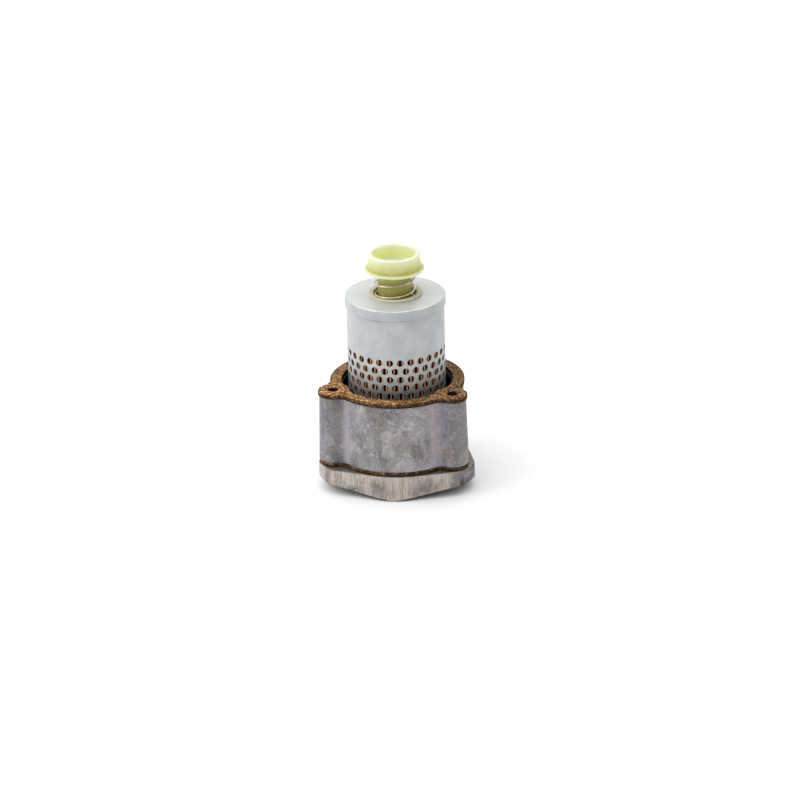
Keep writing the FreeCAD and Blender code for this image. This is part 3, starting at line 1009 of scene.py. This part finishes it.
class HYDRAULIC_OT_housing(bpy.types.Operator):
    """Cast housing with three bolt ears, drafted walls and rounded rims"""
    bl_idname = "hydraulic.housing"
    bl_label = "Cast Housing"

    def execute(self, context):
        cast = context.scene.filter_castings
        outer, bore = housing_outline(cast), bore_outline(cast)
        low, high = foot("filter_housing"), head("filter_housing")
        spacing = 0.75 * MM
        angles = even_angles(outer, spacing)
        rows = walled_rows(
            angles, outer, bore, low, high, cast.rim_round, spacing, face_steps=(6, 6),
            swell_low=cast.draft)
        rings = worn_rings(rows, angles, casting_wear(cast.waviness, cast.pitting))
        mesh = drilled(skin("cast_housing", rings), bolt_cutters(low, high, HOLE_BREAK))
        shade(mesh)

        def from_ear(place):
            return from_nearest(angle_of(place), FIRST_EAR)

        hollow_middle, hollow_half = 0.92 * outer.spread, math.radians(9)

        def hollow(place):
            return limited(1 - abs(from_ear(place) - hollow_middle) / hollow_half)

        def ear(place):
            return limited(1 - from_ear(place) / outer.spread) ** 0.5

        # Upright bands of painted light and shade: angle and half width in degrees, and how light or, below
        # 0, how dark.
        bands = ((-158, 16, 0.8), (-138, 4, -0.8), (-131, 6, 1.2), (-50, 6, 1.0), (-36, 8, -0.5))

        def band(place):
            degrees = math.degrees(angle_of(place))
            return sum(level * limited(1 - abs(degrees - middle) / wide) for middle, wide, level in bands)

        # The painted shade reaches this far past the bore, over its rounded rim.
        rim_shade_reach = 0.9 * MM
        mark(
            mesh, hollow=hollow, ear=ear, band=band,
            rust=spots([(-51, 45 * MM, 4 * MM, 12 * MM), (-26, 62 * MM, 9 * MM, 6 * MM)]),
            ejector=spots([(-92, 47 * MM, 5 * MM, 5 * MM), (-91, 36 * MM, 5 * MM, 6 * MM)]),
            bore=bore_shade(bore.swollen(rim_shade_reach)))
        dressed(mesh, housing_finish(cast), "filter_body", "cast_housing", "filter_housing")
        return {"FINISHED"}


class HYDRAULIC_OT_gaskets(bpy.types.Operator):
    """The two cork gaskets, granule by granule"""
    bl_idname = "hydraulic.gaskets"
    bl_label = "Cork Gaskets"

    def execute(self, context):
        cast = context.scene.filter_castings
        cork = context.scene.filter_gaskets
        finish = cork_finish(cork)
        wear = cork_wear(cork.granule, cork.crevice)
        opening = bore_outline(cast, cork.bore_gap)
        lower = housing_outline(cast, cast.draft - cork.setback)
        upper = housing_outline(cast, cork.overhang)
        around, upwards = 0.42 * MM, 0.4 * MM
        rounding, hole_break, edge_width = 0.25 * MM, 0.1 * MM, 0.35 * MM
        for node, outline, face_steps in (("lower_gasket", lower, (3, 3)), ("upper_gasket", upper, (3, 30))):
            low, high = foot(node), head(node)
            angles = even_angles(outline, around)
            rows = walled_rows(angles, outline, opening, low, high, rounding, upwards, face_steps)
            mesh = skin(node.replace("gasket", "cork_gasket"), worn_rings(rows, angles, wear))
            mesh = drilled(mesh, bolt_cutters(low, high, hole_break))
            shade(mesh, 60)

            # The outer side, darkened by painted shade: most at the foot, less towards the top.
            def edge(place):
                if radius_of(place) < outline(angle_of(place)) - edge_width:
                    return 0.0
                return 0.6 + 0.38 * (high - place.z) / (high - low)

            mark(mesh, edge=edge, bore=bore_shade(opening))
            dressed(mesh, finish, "filter_body", "cork_gasket", node)
        return {"FINISHED"}


def cover_rows(angles, outer, pocket, rise, cast):
    """The rows of the cover's skin: out along the underside, up, in, down the pocket to its spigot."""
    high = foot("lower_gasket")
    low_round, high_round = 0.8 * MM, 0.35 * MM
    foot_edge = radii_of(outer, angles, -low_round)
    crease = [min(cast.taper_start / math.cos(from_nearest(angle, outer.first)), 0.98 * radius)
              for angle, radius in zip(angles, foot_edge)]
    centre = [0.06 * radius for radius in crease]
    rows = [Row(radii, 0.0, "foot") for radii in lists_between(centre, crease, 12)]
    for radii in lists_between(crease, foot_edge, 17)[1:]:
        rows.append(Row(radii, [rise(radius, angle) for radius, angle in zip(radii, angles)], "foot"))
    base = rows[-1].heights
    for up, inset in rim_steps(low_round):
        rows.append(Row(radii_of(outer, angles, -inset), [height + up for height in base], "outside"))
    wall_head = [high - high_round] * len(angles)
    for heights in lists_between(rows[-1].heights, wall_head, 20)[1:]:
        rows.append(Row(radii_of(outer, angles), heights, "outside"))
    for inset, down in rim_steps(high_round)[:-1]:
        rows.append(Row(radii_of(outer, angles, -inset), high - down, "outside"))
    top_edge = radii_of(outer, angles, -high_round)
    pocket_edge = radii_of(pocket, angles, high_round)
    rows += [Row(radii, high, "top") for radii in lists_between(top_edge, pocket_edge, 8)]
    for down, out in rim_steps(high_round):
        rows.append(Row(radii_of(pocket, angles, out), high - down, "bore"))
    floor = cast.pocket_floor
    for height in steps_between(high - high_round, floor, 1.5 * MM)[1:]:
        rows.append(Row(radii_of(pocket, angles), height, "bore"))
    seat = foot("bottom_end_cap")
    seat_out, seat_in = 29 * MM, 24 * MM
    spigot, spigot_top, spigot_round = 6 * MM, seat + 2.6 * MM, 0.4 * MM
    inner = [
        (seat_out, floor), (seat_out, seat), (seat_in, seat), (seat_in, floor), (spigot, floor),
        (spigot, spigot_top - spigot_round), (spigot - spigot_round, spigot_top),
    ]
    return rows + [Row([radius] * len(angles), height, "bore") for radius, height in inner]


class HYDRAULIC_OT_cover(bpy.types.Operator):
    """Cast cover with tapered lobes and sanded sides"""
    bl_idname = "hydraulic.cover"
    bl_label = "Cast Cover"

    def execute(self, context):
        cast = context.scene.filter_castings
        corner, flank = 7 * MM, math.radians(44)
        outer = Flanked(cast.cover_ring, BOLT_CIRCLE + cast.cover_lobe, corner, flank, cast.cover_turn)
        spacing = 0.8 * MM
        angles = even_angles(outer, spacing)

        def rise(radius, angle):
            along = radius * math.cos(from_nearest(angle, outer.first))
            return cast.taper_slope * max(0.0, along - cast.taper_start)

        rows = cover_rows(angles, outer, bore_outline(cast), rise, cast)
        rings = worn_rings(rows, angles, casting_wear(0.5 * cast.waviness, 0.6 * cast.pitting))
        seat_radius = 8 * MM
        seat = (seat_radius, cast.taper_slope * (BOLT_CIRCLE + seat_radius - cast.taper_start))
        high = foot("lower_gasket")
        cutters = bolt_cutters(0.0, high, HOLE_BREAK, seat)
        mesh = drilled(skin("cast_cover", rings, "capped"), cutters)
        shade(mesh)
        top_edge, foot_edge = 0.3 * MM, 0.35 * MM
        raw_half, raw_fade = math.radians(9), math.radians(3)

        def sanded(place):
            """Sanded everywhere but on the top edge and the end of the front right lobe."""
            if place.z > high - top_edge:
                return 0.25
            if abs(angle_of(place) - outer.first + EAR_PITCH) > EAR_PITCH / 2:
                return 1.0
            away = from_nearest(angle_of(place), outer.first)
            return limited((away - raw_half) / raw_fade)

        # The underside, painted dark so that less light bounces into the shadow under the cover.
        def under(place):
            return float(place.z < rise(radius_of(place), angle_of(place)) + foot_edge)

        stain = spots([
            (-60, 8.5 * MM, 15 * MM, 8 * MM), (-99, 9 * MM, 9 * MM, 8 * MM), (-39, 9 * MM, 4 * MM, 22 * MM),
            (-122, 6 * MM, 12 * MM, 4 * MM), (-141, 9 * MM, 4 * MM, 18 * MM),
        ])
        mark(mesh, sanded=sanded, under=under, stain=stain)
        dressed(mesh, cover_finish(cast), "filter_body", "cast_cover", "base_cover")
        return {"FINISHED"}


# Element

CELL_STEPS = 4
SHROUD_START = math.radians(270)


def staggered_ring():
    """Copies of one cell in rows round the axis, each second row turned by half a cell."""
    p = Pattern("staggered ring")
    per_row = p.ask("Per Row", "NodeSocketInt")
    rows = p.ask("Rows", "NodeSocketInt")
    pitch = p.ask("Pitch")
    start = p.ask("Start Angle")
    material = p.ask("Material", "NodeSocketMaterial")
    count = p.times(per_row, rows)
    points = p.add("GeometryNodeMeshLine", {"Count": count, "Offset": (0.0, 0.0, 0.0)})
    index = p.add("GeometryNodeInputIndex").outputs[0]
    row = p.math("FLOOR", p.math("DIVIDE", p.plus(index, 0.5), per_row))
    half = p.times(p.math("MODULO", row, 2.0), 0.5)
    step = p.math("DIVIDE", FULL_TURN, per_row)
    angle = p.plus(start, p.times(p.plus(index, half), step))
    height = p.times(row, p.times(pitch, -1.0))
    offset = p.add("ShaderNodeCombineXYZ", {"Z": height}).outputs[0]
    placed = p.add("GeometryNodeSetPosition", {"Geometry": points.outputs[0], "Offset": offset})
    turned = p.add("FunctionNodeAxisAngleToRotation", {"Axis": (0.0, 0.0, 1.0), "Angle": angle})
    copies = p.add("GeometryNodeInstanceOnPoints", {
        "Points": placed.outputs[0], "Instance": p.entry.outputs["Geometry"],
        "Rotation": turned.outputs[0]})
    real = p.add("GeometryNodeRealizeInstances", {"Geometry": copies.outputs[0]})
    joined = p.add("GeometryNodeMergeByDistance", {"Geometry": real.outputs[0], "Distance": 0.01 * MM})
    return p.finish(joined.outputs[0], material)


def holed_cell(radius, sheet, half_width, half_height, hole, break_edge):
    """One cell of the shroud: a bent patch of sheet with a punched hole in its middle."""
    corners = ((1.0, -1.0), (1.0, 1.0), (-1.0, 1.0), (-1.0, -1.0), (1.0, -1.0))
    edge = []
    for first, second in zip(corners, corners[1:]):
        edge += lists_between(first, second, CELL_STEPS)[:-1]
    turns = [math.radians(-45) + FULL_TURN * index / len(edge) for index in range(len(edge))]
    inside = radius - sheet
    levels = ((hole + break_edge, radius), (hole, radius - break_edge), (hole, inside))
    flat = [[(u * half_width, v * half_height, radius) for u, v in edge]]
    flat += [[(wide * math.cos(t), wide * math.sin(t), level) for t in turns] for wide, level in levels]
    flat.append([(u * half_width, v * half_height, inside) for u, v in edge])
    bent = [[at(level, across / radius, up) for across, up, level in ring] for ring in flat]
    return skin("cell", bent, "open")


class HYDRAULIC_OT_shroud(bpy.types.Operator):
    """Perforated sheet round the paper, its holes in staggered rows"""
    bl_idname = "hydraulic.shroud"
    bl_label = "Perforated Shroud"

    def execute(self, context):
        part = context.scene.filter_element
        radius = reach("outer_shroud")
        inside = radius - part.sheet
        low, high = foot("outer_shroud"), head("outer_shroud")
        seam = foot("top_end_cap")
        half_width = math.pi * radius / part.holes_per_row
        break_edge = 0.06 * MM
        cell = holed_cell(
            radius, part.sheet, half_width, part.row_pitch / 2, part.hole_radius, break_edge)
        first_row = high - part.blank_band
        cell.transform(Matrix.Translation((0, 0, first_row)))
        finish = zinc_finish(part)
        mesh = grown("perforated_shroud", cell, staggered_ring(), {
            "Per Row": part.holes_per_row, "Rows": part.hole_rows, "Pitch": part.row_pitch,
            "Start Angle": SHROUD_START, "Material": finish})
        top_row = first_row + part.row_pitch / 2
        bottom_row = first_row - (part.hole_rows - 0.5) * part.row_pitch
        level_spacing, shadow, fade = 2.2 * MM, 0.8 * MM, 0.5 * MM
        work = bmesh.new()
        work.from_mesh(mesh)
        for near, far in ((top_row, high), (bottom_row, low)):
            levels = steps_between(near, far, level_spacing)
            if far == high:
                levels = [level for level in levels if abs(level - seam) > 1 * MM]
                levels = sorted(levels + [seam - shadow, seam - shadow + fade, seam])
            path = [(radius, level) for level in levels] + [(inside, level) for level in reversed(levels)]
            work.from_mesh(lathe("plain_band", path, part.holes_per_row * CELL_STEPS, "open"))
        bmesh.ops.remove_doubles(work, verts=work.verts, dist=0.02 * MM)
        for vertex in work.verts:
            dent(vertex, -outwards(vertex.co), 0.07 * MM, 16 * MM)
        bmesh.ops.recalc_face_normals(work, faces=work.faces)
        work.to_mesh(mesh)
        work.free()
        shade(mesh, 32)
        # painted shadow just below the cap's skirt
        mark(mesh, seam=lambda place: limited((place.z - seam + shadow) / fade))
        dressed(mesh, finish, "filter_body", "plated_steel", "outer_shroud")
        return {"FINISHED"}


def pleat(crest_radius, valley_radius, paper, half_pitch, low, high, levels):
    """One fold of the paper, from valley to valley over its crest, open where the next one joins."""
    half = paper / 2
    crest_round = 0.65 * MM - half
    valley_round = 0.35 * MM
    top = crest_radius - half - crest_round
    bottom = valley_radius + half + valley_round
    valley_across = valley_radius * math.sin(half_pitch)
    middle = []
    for step in range(4):
        turn = math.pi / 2 * step / 3
        middle.append((
            bottom - valley_round * math.cos(turn), -valley_across + valley_round * math.sin(turn)))
    middle.append(((bottom + top) / 2, -(valley_across - valley_round + crest_round) / 2))
    for step in range(7):
        turn = math.pi * (step / 6 - 0.5)
        middle.append((top + crest_round * math.cos(turn), crest_round * math.sin(turn)))
    middle += [(x, -y) for x, y in reversed(middle[:5])]
    end = len(middle) - 1
    sides = {half: [], -half: []}
    for index, (x, y) in enumerate(middle):
        along = Vector((0.0, 1.0))
        if 0 < index < end:
            along = (Vector(middle[index + 1]) - Vector(middle[index - 1])).normalized()
        for side, run in sides.items():
            run.append((x + along.y * side, y - along.x * side))
    outline = sides[half] + sides[-half][::-1]
    rings = [[(x, y, z) for x, y in outline] for z in steps_between(low, high, (high - low) / levels)]
    columns = len(outline)
    last = (len(rings) - 1) * columns
    faces = []
    for here in range(0, last, columns):
        faces += band_faces(columns, here, here + columns, left_out=(end, columns - 1))
    for column in range(end):
        other = columns - 1 - column
        faces.append((column + 1, column, other, other - 1))
        faces.append((last + column, last + column + 1, last + other - 1, last + other))
    return new_mesh("pleat", [point for ring in rings for point in ring], faces)


class HYDRAULIC_OT_paper(bpy.types.Operator):
    """Pleated resin paper behind the shroud's holes"""
    bl_idname = "hydraulic.paper"
    bl_label = "Pleated Paper"

    def execute(self, context):
        part = context.scene.filter_element
        low, high = foot("pleated_media"), head("pleated_media")
        shroud_gap, tube_gap, lean, lean_wave = 0.7 * MM, 0.5 * MM, 0.9 * MM, 45 * MM
        crest = reach("outer_shroud") - part.sheet - shroud_gap
        valley = reach("centre_tube") + tube_gap
        half_pitch = math.pi / part.pleats
        fold = pleat(crest, valley, part.paper, half_pitch, low, high, levels=9)
        finish = paper_finish(part)
        mesh = grown("pleated_paper", fold, staggered_ring(), {
            "Per Row": part.pleats, "Rows": 1, "Pitch": 0.0, "Start Angle": FIRST_EAR,
            "Material": finish})
        for vertex in mesh.vertices:
            angle = angle_of(vertex.co)
            out = (radius_of(vertex.co) - valley) / (crest - valley)
            index = round((angle - FIRST_EAR) / (2 * half_pitch)) % part.pleats
            if index == 0 or out < 0:
                continue
            sway = noise.noise(Vector((index * 7.3, 0.0, vertex.co.z / lean_wave)))
            vertex.co += at(lean * sway * out ** 2, angle + math.pi / 2)
        shade(mesh, 40)
        dressed(mesh, finish, "filter_body", "filter_paper", "pleated_media")
        return {"FINISHED"}


class HYDRAULIC_OT_caps(bpy.types.Operator):
    """Pressed top cap, and the finishes of the pieces inside the element"""
    bl_idname = "hydraulic.caps"
    bl_label = "End Caps"

    def execute(self, context):
        part = context.scene.filter_element
        finish = bpy.data.materials.get("plated steel") or zinc_finish(part)
        skirt = reach("top_end_cap")
        inside = skirt - part.cap_sheet
        low, face = foot("top_end_cap"), head("top_end_cap")
        hole = reach("seal_grommet") - 1.6 * MM
        creases = {face - part.crease: 0.08 * MM, face - part.crease + 2 * MM: 0.06 * MM}
        half = 0.5 * MM
        wall = []
        for height, depth in creases.items():
            wall += [(skirt, height - half, 0), (skirt - depth, height, 0), (skirt, height + half, 0)]
        outline = softened([
            (skirt, low, 0.12 * MM),
            (skirt, low + 0.3 * MM, 0),
            *wall,
            (skirt, face, 0.6 * MM),
            (skirt - 1.6 * MM, face, 0),
            (hole, face, 0.15 * MM),
            (hole, face - part.cap_sheet, 0),
            (inside, face - part.cap_sheet, 0.6 * MM),
            (inside, low, 0.2 * MM),
        ])
        mesh = lathe("top_cap", outline, 192)
        for vertex in mesh.vertices:
            if vertex.co.z < face - 2 * MM:
                dent(vertex, -outwards(vertex.co), 0.06 * MM, 12 * MM)
            else:
                dent(vertex, Vector((0.0, 0.0, -1.0)), 0.05 * MM, 14 * MM)
        shade(mesh)
        lid_edge = 0.07 * MM

        # The flat top face, which gets a brighter colour as painted light.
        def lid(place):
            return float(place.z > face - lid_edge)

        def bright(place):
            """The lit rim of the lid, strongest towards the front."""
            if not lid(place) or radius_of(place) < skirt - 1.3 * MM:
                return 0.0
            return limited(2.2 - abs(math.degrees(angle_of(place)) + 86) / 28, 0.85)

        # Painted shade: a dark line at the skirt's foot and fainter ones along the creases.
        def seam(place):
            if place.z < low + 0.2 * MM:
                return 0.8
            return 0.4 if min(abs(place.z - height) for height in creases) < 0.1 * MM else 0.0

        mark(mesh, lid=lid, bright=bright, seam=seam)
        dressed(mesh, finish, "filter_body", "plated_steel", "top_end_cap")
        give(finish, "bottom_end_cap", "centre_tube", "media_seam_clip")
        give(sealant_finish(), "bottom_potting", "top_potting")
        return {"FINISHED"}


def give(material, *nodes):
    """Gives kept nodes their material."""
    for node in nodes:
        mesh = frame["nodes"][node].data
        mesh.materials.clear()
        mesh.materials.append(material)


class HYDRAULIC_OT_grommet(bpy.types.Operator):
    """Rubber grommet with its well for the spring and its lip on the stem"""
    bl_idname = "hydraulic.grommet"
    bl_label = "Rubber Grommet"

    def execute(self, context):
        part = context.scene.filter_element
        rim = reach("seal_grommet")
        bottom, top = foot("seal_grommet"), head("seal_grommet")
        cap = head("top_end_cap")
        under_cap = cap - part.sheet
        neck = rim - 1.7 * MM
        bore = rim - 3.5 * MM
        sleeve = bore + 1.2 * MM
        lip = 11.36 * MM
        well = bottom + 2.5 * MM
        shoulder = cap - 2.1 * MM
        outline = softened([
            (neck, cap, 0),
            (rim, cap, 0.1 * MM),
            (rim, top, 0.5 * MM),
            (bore, top, 0.5 * MM),
            (bore, well, 0.4 * MM),
            (lip, well, 0.3 * MM),
            (lip, bottom, 0.2 * MM),
            (sleeve, bottom, 0.3 * MM),
            (sleeve, shoulder, 0.2 * MM),
            (rim, shoulder, 0.3 * MM),
            (rim, under_cap, 0.1 * MM),
            (neck, under_cap, 0),
        ])
        mesh = lathe("rubber_grommet", outline, 128)
        shade(mesh)
        dressed(mesh, rubber_finish(part), "filter_body", "olive_rubber", "seal_grommet")
        return {"FINISHED"}


# Spring and nose

def coil_path():
    """A round wire on a compression spring's path, with a closed turn or so at each end."""
    p = Pattern("spring wire")
    names = ("Wire Radius", "Coil Radius", "Low", "High", "Active Turns", "Closed Turns", "Gap", "Start")
    wire, coil, low, high, active, closed, gap, start = [p.ask(name) for name in names]
    material = p.ask("Material", "NodeSocketMaterial")
    points_per_turn = 72.0
    total = p.plus(active, p.times(closed, 2.0))
    count = p.times(total, points_per_turn)
    line = p.add("GeometryNodeMeshLine", {"Count": count, "Offset": (0.0, 0.0, 0.001)})
    path = p.add("GeometryNodeMeshToCurve", {"Mesh": line.outputs[0]})
    share = p.math("DIVIDE", p.add("GeometryNodeInputIndex").outputs[0], p.minus(count, 1.0))
    turns = p.times(share, total)
    end_pitch = p.plus(p.times(wire, 2.0), gap)
    ends = p.times(p.times(closed, end_pitch), 2.0)
    pitch = p.math("DIVIDE", p.minus(p.minus(high, low), ends), active)
    first = p.math("MINIMUM", turns, closed)
    open_turns = p.math("MINIMUM", p.larger(p.minus(turns, closed), 0.0), active)
    last = p.larger(p.minus(p.minus(turns, closed), active), 0.0)
    rise = p.plus(p.times(p.plus(first, last), end_pitch), p.times(open_turns, pitch))
    angle = p.plus(start, p.times(turns, FULL_TURN))
    place = p.add("ShaderNodeCombineXYZ", {
        "X": p.times(coil, p.math("COSINE", angle)),
        "Y": p.times(coil, p.math("SINE", angle)),
        "Z": p.plus(low, rise)})
    bent = p.add("GeometryNodeSetPosition", {"Geometry": path.outputs[0], "Position": place.outputs[0]})
    section = p.add("GeometryNodeCurvePrimitiveCircle", {"Resolution": 16, "Radius": wire})
    swept = p.add("GeometryNodeCurveToMesh", {
        "Curve": bent.outputs[0], "Profile Curve": section.outputs[0], "Fill Caps": True})
    return p.finish(swept.outputs[0], material)


class HYDRAULIC_OT_spring(bpy.types.Operator):
    """Compression spring round the stem, and the washer that it stands on"""
    bl_idname = "hydraulic.spring"
    bl_label = "Nose Spring"

    def execute(self, context):
        part = context.scene.filter_nose
        finish = wire_finish(part)
        seat = head("spring_seat_washer")
        flange = head("outlet_nose") - part.head_height - part.flange_sheet
        inset = part.wire_radius + 0.05 * MM
        coil = reach("spring_seat_washer") - 0.35 * MM - part.wire_radius
        mesh = grown("nose_spring_wire", bpy.data.meshes.new("start"), coil_path(), {
            "Wire Radius": part.wire_radius, "Coil Radius": coil, "Low": seat + inset,
            "High": flange - inset, "Active Turns": part.active_turns,
            "Closed Turns": part.closed_turns, "Gap": 0.03 * MM, "Start": part.start_angle,
            "Material": finish})
        shade(mesh, 50)
        spring = dressed(mesh, finish, "filter_body", "spring_steel", "nose_spring")
        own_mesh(spring)
        give(finish, "spring_seat_washer", "stem_retaining_ring")
        return {"FINISHED"}


class HYDRAULIC_OT_nose(bpy.types.Operator):
    """Outlet nose: stem, flange and cup moulded as one"""
    bl_idname = "hydraulic.nose"
    bl_label = "Outlet Nose"

    def execute(self, context):
        part = context.scene.filter_nose
        top, bottom = head("outlet_nose"), foot("outlet_nose")
        flange = reach("outlet_nose")
        above = top - part.head_height
        under = above - part.flange_sheet
        stem = flange - 8.7 * MM
        bore = stem - part.stem_wall
        side = stem + 6.5 * MM
        rim = side - 0.5 * MM
        cup = side - part.head_wall
        floor = above + 1.6 * MM
        ring_low, ring_high = foot("stem_retaining_ring"), head("stem_retaining_ring")
        groove = stem - 0.7 * MM
        outline = softened([
            (bore, bottom, 0.2 * MM),
            (stem, bottom, 0.3 * MM),
            (stem, ring_low, 0),
            (groove, ring_low, 0),
            (groove, ring_high, 0),
            (stem, ring_high, 0),
            (stem, under, 0.6 * MM),
            (flange, under, 0.65 * MM),
            (flange, above, 0.65 * MM),
            (side, above, 0.7 * MM),
            (rim, top, 1.1 * MM),
            (cup, top, 0.9 * MM),
            (cup, floor, 1.0 * MM),
            (bore, floor, 0.5 * MM),
        ], steps=6)
        mesh = lathe("nylon_nose", outline, 160)
        shade(mesh)

        # The inside of the cup, paler as painted light for light through its walls.
        def inside(place):
            return float(bore < radius_of(place) < cup + 0.2 * MM and place.z > above)

        # Thin walls, made paler as painted light that stands in for light shining through them.
        def thin(place):
            at_rim = limited((place.z - top + 5 * MM) / (4 * MM))
            flange_root = side + 0.8 * MM
            at_flange = limited((radius_of(place) - flange_root) / (flange - flange_root))
            at_floor = 0.45 * inside(place) if place.z < floor + 0.5 * MM else 0.0
            return max(0.4 * at_rim + 0.35 * at_rim ** 4, 0.6 * at_flange, at_floor)

        # The stem under the flange, darkened as painted shade.
        def deep(place):
            return limited((under - place.z) / (1.5 * MM))

        mark(mesh, inside=inside, thin=thin, deep=deep)
        dressed(mesh, nylon_finish(part), "nose", "pale_nylon", "outlet_nose")
        return {"FINISHED"}


# Stage

def white_room(brightness):
    """A white surrounding, brightest overhead and to the left, and dim low down behind the camera."""
    world = bpy.data.worlds.new("white studio")
    world.use_nodes = True
    w = Tree(world.node_tree)
    way = w.add("ShaderNodeTexCoord").outputs["Generated"]
    behind_camera = (0.5, -0.87, 0.0)
    brightening = (-0.34, 0.06, 1.15)
    fall, dimming, darkest = 2.2, 1.2, 0.02
    low = w.larger(w.minus(1.0, w.times(w.along(way, (0.0, 0.0, 1.0)), fall)), 0.0)
    dimmed = w.times(w.times(low, w.larger(w.along(way, behind_camera), 0.0)), dimming)
    level = w.larger(w.minus(w.plus(brightness, w.along(way, brightening)), dimmed), darkest)
    background = world.node_tree.nodes["Background"]
    w.put(background.inputs["Strength"], level)
    w.put(background.inputs["Color"], (1.0, 1.0, 1.0, 1.0))
    return world


def softbox(name, place, target, side, power):
    """A square soft light that faces the target."""
    light = bpy.data.lights.new(name, "AREA")
    light.shape = "RECTANGLE"
    light.size = side
    light.size_y = side
    light.energy = power
    lamp = bpy.data.objects.new(name, light)
    bpy.context.scene.collection.objects.link(lamp)
    lamp.location = place
    lamp.rotation_euler = (target - Vector(place)).to_track_quat("-Z", "Y").to_euler()


def rolled(right, up, roll):
    """The camera's right and up after it has rolled."""
    return (
        right * math.cos(roll) + up * math.sin(roll), up * math.cos(roll) - right * math.sin(roll))


class HYDRAULIC_OT_stage(bpy.types.Operator):
    """White floor, soft studio lights and the camera"""
    bl_idname = "hydraulic.stage"
    bl_label = "Studio"

    def execute(self, context):
        stage = context.scene.filter_stage
        half = stage.floor_size / 2
        corners = [(-half, -half, 0.0), (half, -half, 0.0), (half, half, 0.0), (-half, half, 0.0)]
        mesh = new_mesh("studio_floor", corners, [(0, 1, 2, 3)])
        mesh.materials.append(floor_finish())
        new_object("studio_floor", mesh)

        context.scene.world = white_room(stage.room)
        context.scene.view_settings.view_transform = "Standard"

        gasket = Vector((0.0, 0.0, head("upper_gasket")))
        key_place, key_side = (-1.75, -0.6, 1.6), 1.6
        softbox("key", key_place, gasket, key_side, stage.key_power)

        turn, tilt = stage.camera_azimuth, stage.camera_elevation
        back = at(math.cos(tilt), turn - math.pi / 2, math.sin(tilt))
        right = at(1.0, turn)
        place = gasket + back * stage.camera_distance
        right, up = rolled(right, back.cross(right), stage.camera_roll)
        picture_right, picture_down = 1.93 * MM, 14.95 * MM
        aim = gasket + right * picture_right - up * picture_down
        back = (place - aim).normalized()
        right = up.cross(back).normalized()
        up = back.cross(right)
        camera = bpy.data.objects.new("camera", bpy.data.cameras.new("camera"))
        camera.data.lens = stage.lens
        camera.data.clip_end = 100.0
        camera.matrix_world = Matrix.Translation(place) @ Matrix((right, up, back)).transposed().to_4x4()
        context.scene.collection.objects.link(camera)
        context.scene.camera = camera
        return {"FINISHED"}


OPERATORS = (
    HYDRAULIC_OT_stage, HYDRAULIC_OT_cover, HYDRAULIC_OT_housing, HYDRAULIC_OT_gaskets,
    HYDRAULIC_OT_shroud, HYDRAULIC_OT_paper, HYDRAULIC_OT_caps, HYDRAULIC_OT_grommet,
    HYDRAULIC_OT_spring, HYDRAULIC_OT_nose,
)


class HYDRAULIC_PT_panel(bpy.types.Panel):
    """Builds the filter piece by piece"""
    bl_idname = "HYDRAULIC_PT_panel"
    bl_label = "Hydraulic Filter"
    bl_space_type = "VIEW_3D"
    bl_region_type = "UI"
    bl_category = "Filter"

    def draw(self, context):
        for name, settings in SETTINGS.items():
            box = self.layout.box()
            box.label(text=settings.__doc__)
            for value in settings.__annotations__:
                box.prop(getattr(context.scene, name), value)
        for operator in OPERATORS:
            self.layout.operator(operator.bl_idname)


def register():
    for settings in SETTINGS.values():
        bpy.utils.register_class(settings)
    for name, settings in SETTINGS.items():
        setattr(bpy.types.Scene, name, bpy.props.PointerProperty(type=settings))
    for item in (*OPERATORS, HYDRAULIC_PT_panel):
        bpy.utils.register_class(item)


def unregister():
    for item in (HYDRAULIC_PT_panel, *reversed(OPERATORS)):
        bpy.utils.unregister_class(item)
    for name, settings in SETTINGS.items():
        delattr(bpy.types.Scene, name)
        bpy.utils.unregister_class(settings)


def main():
    register()
    for operator in OPERATORS:
        group, name = operator.bl_idname.split(".")
        getattr(getattr(bpy.ops, group), name)()


if __name__ == "__main__":
    main()
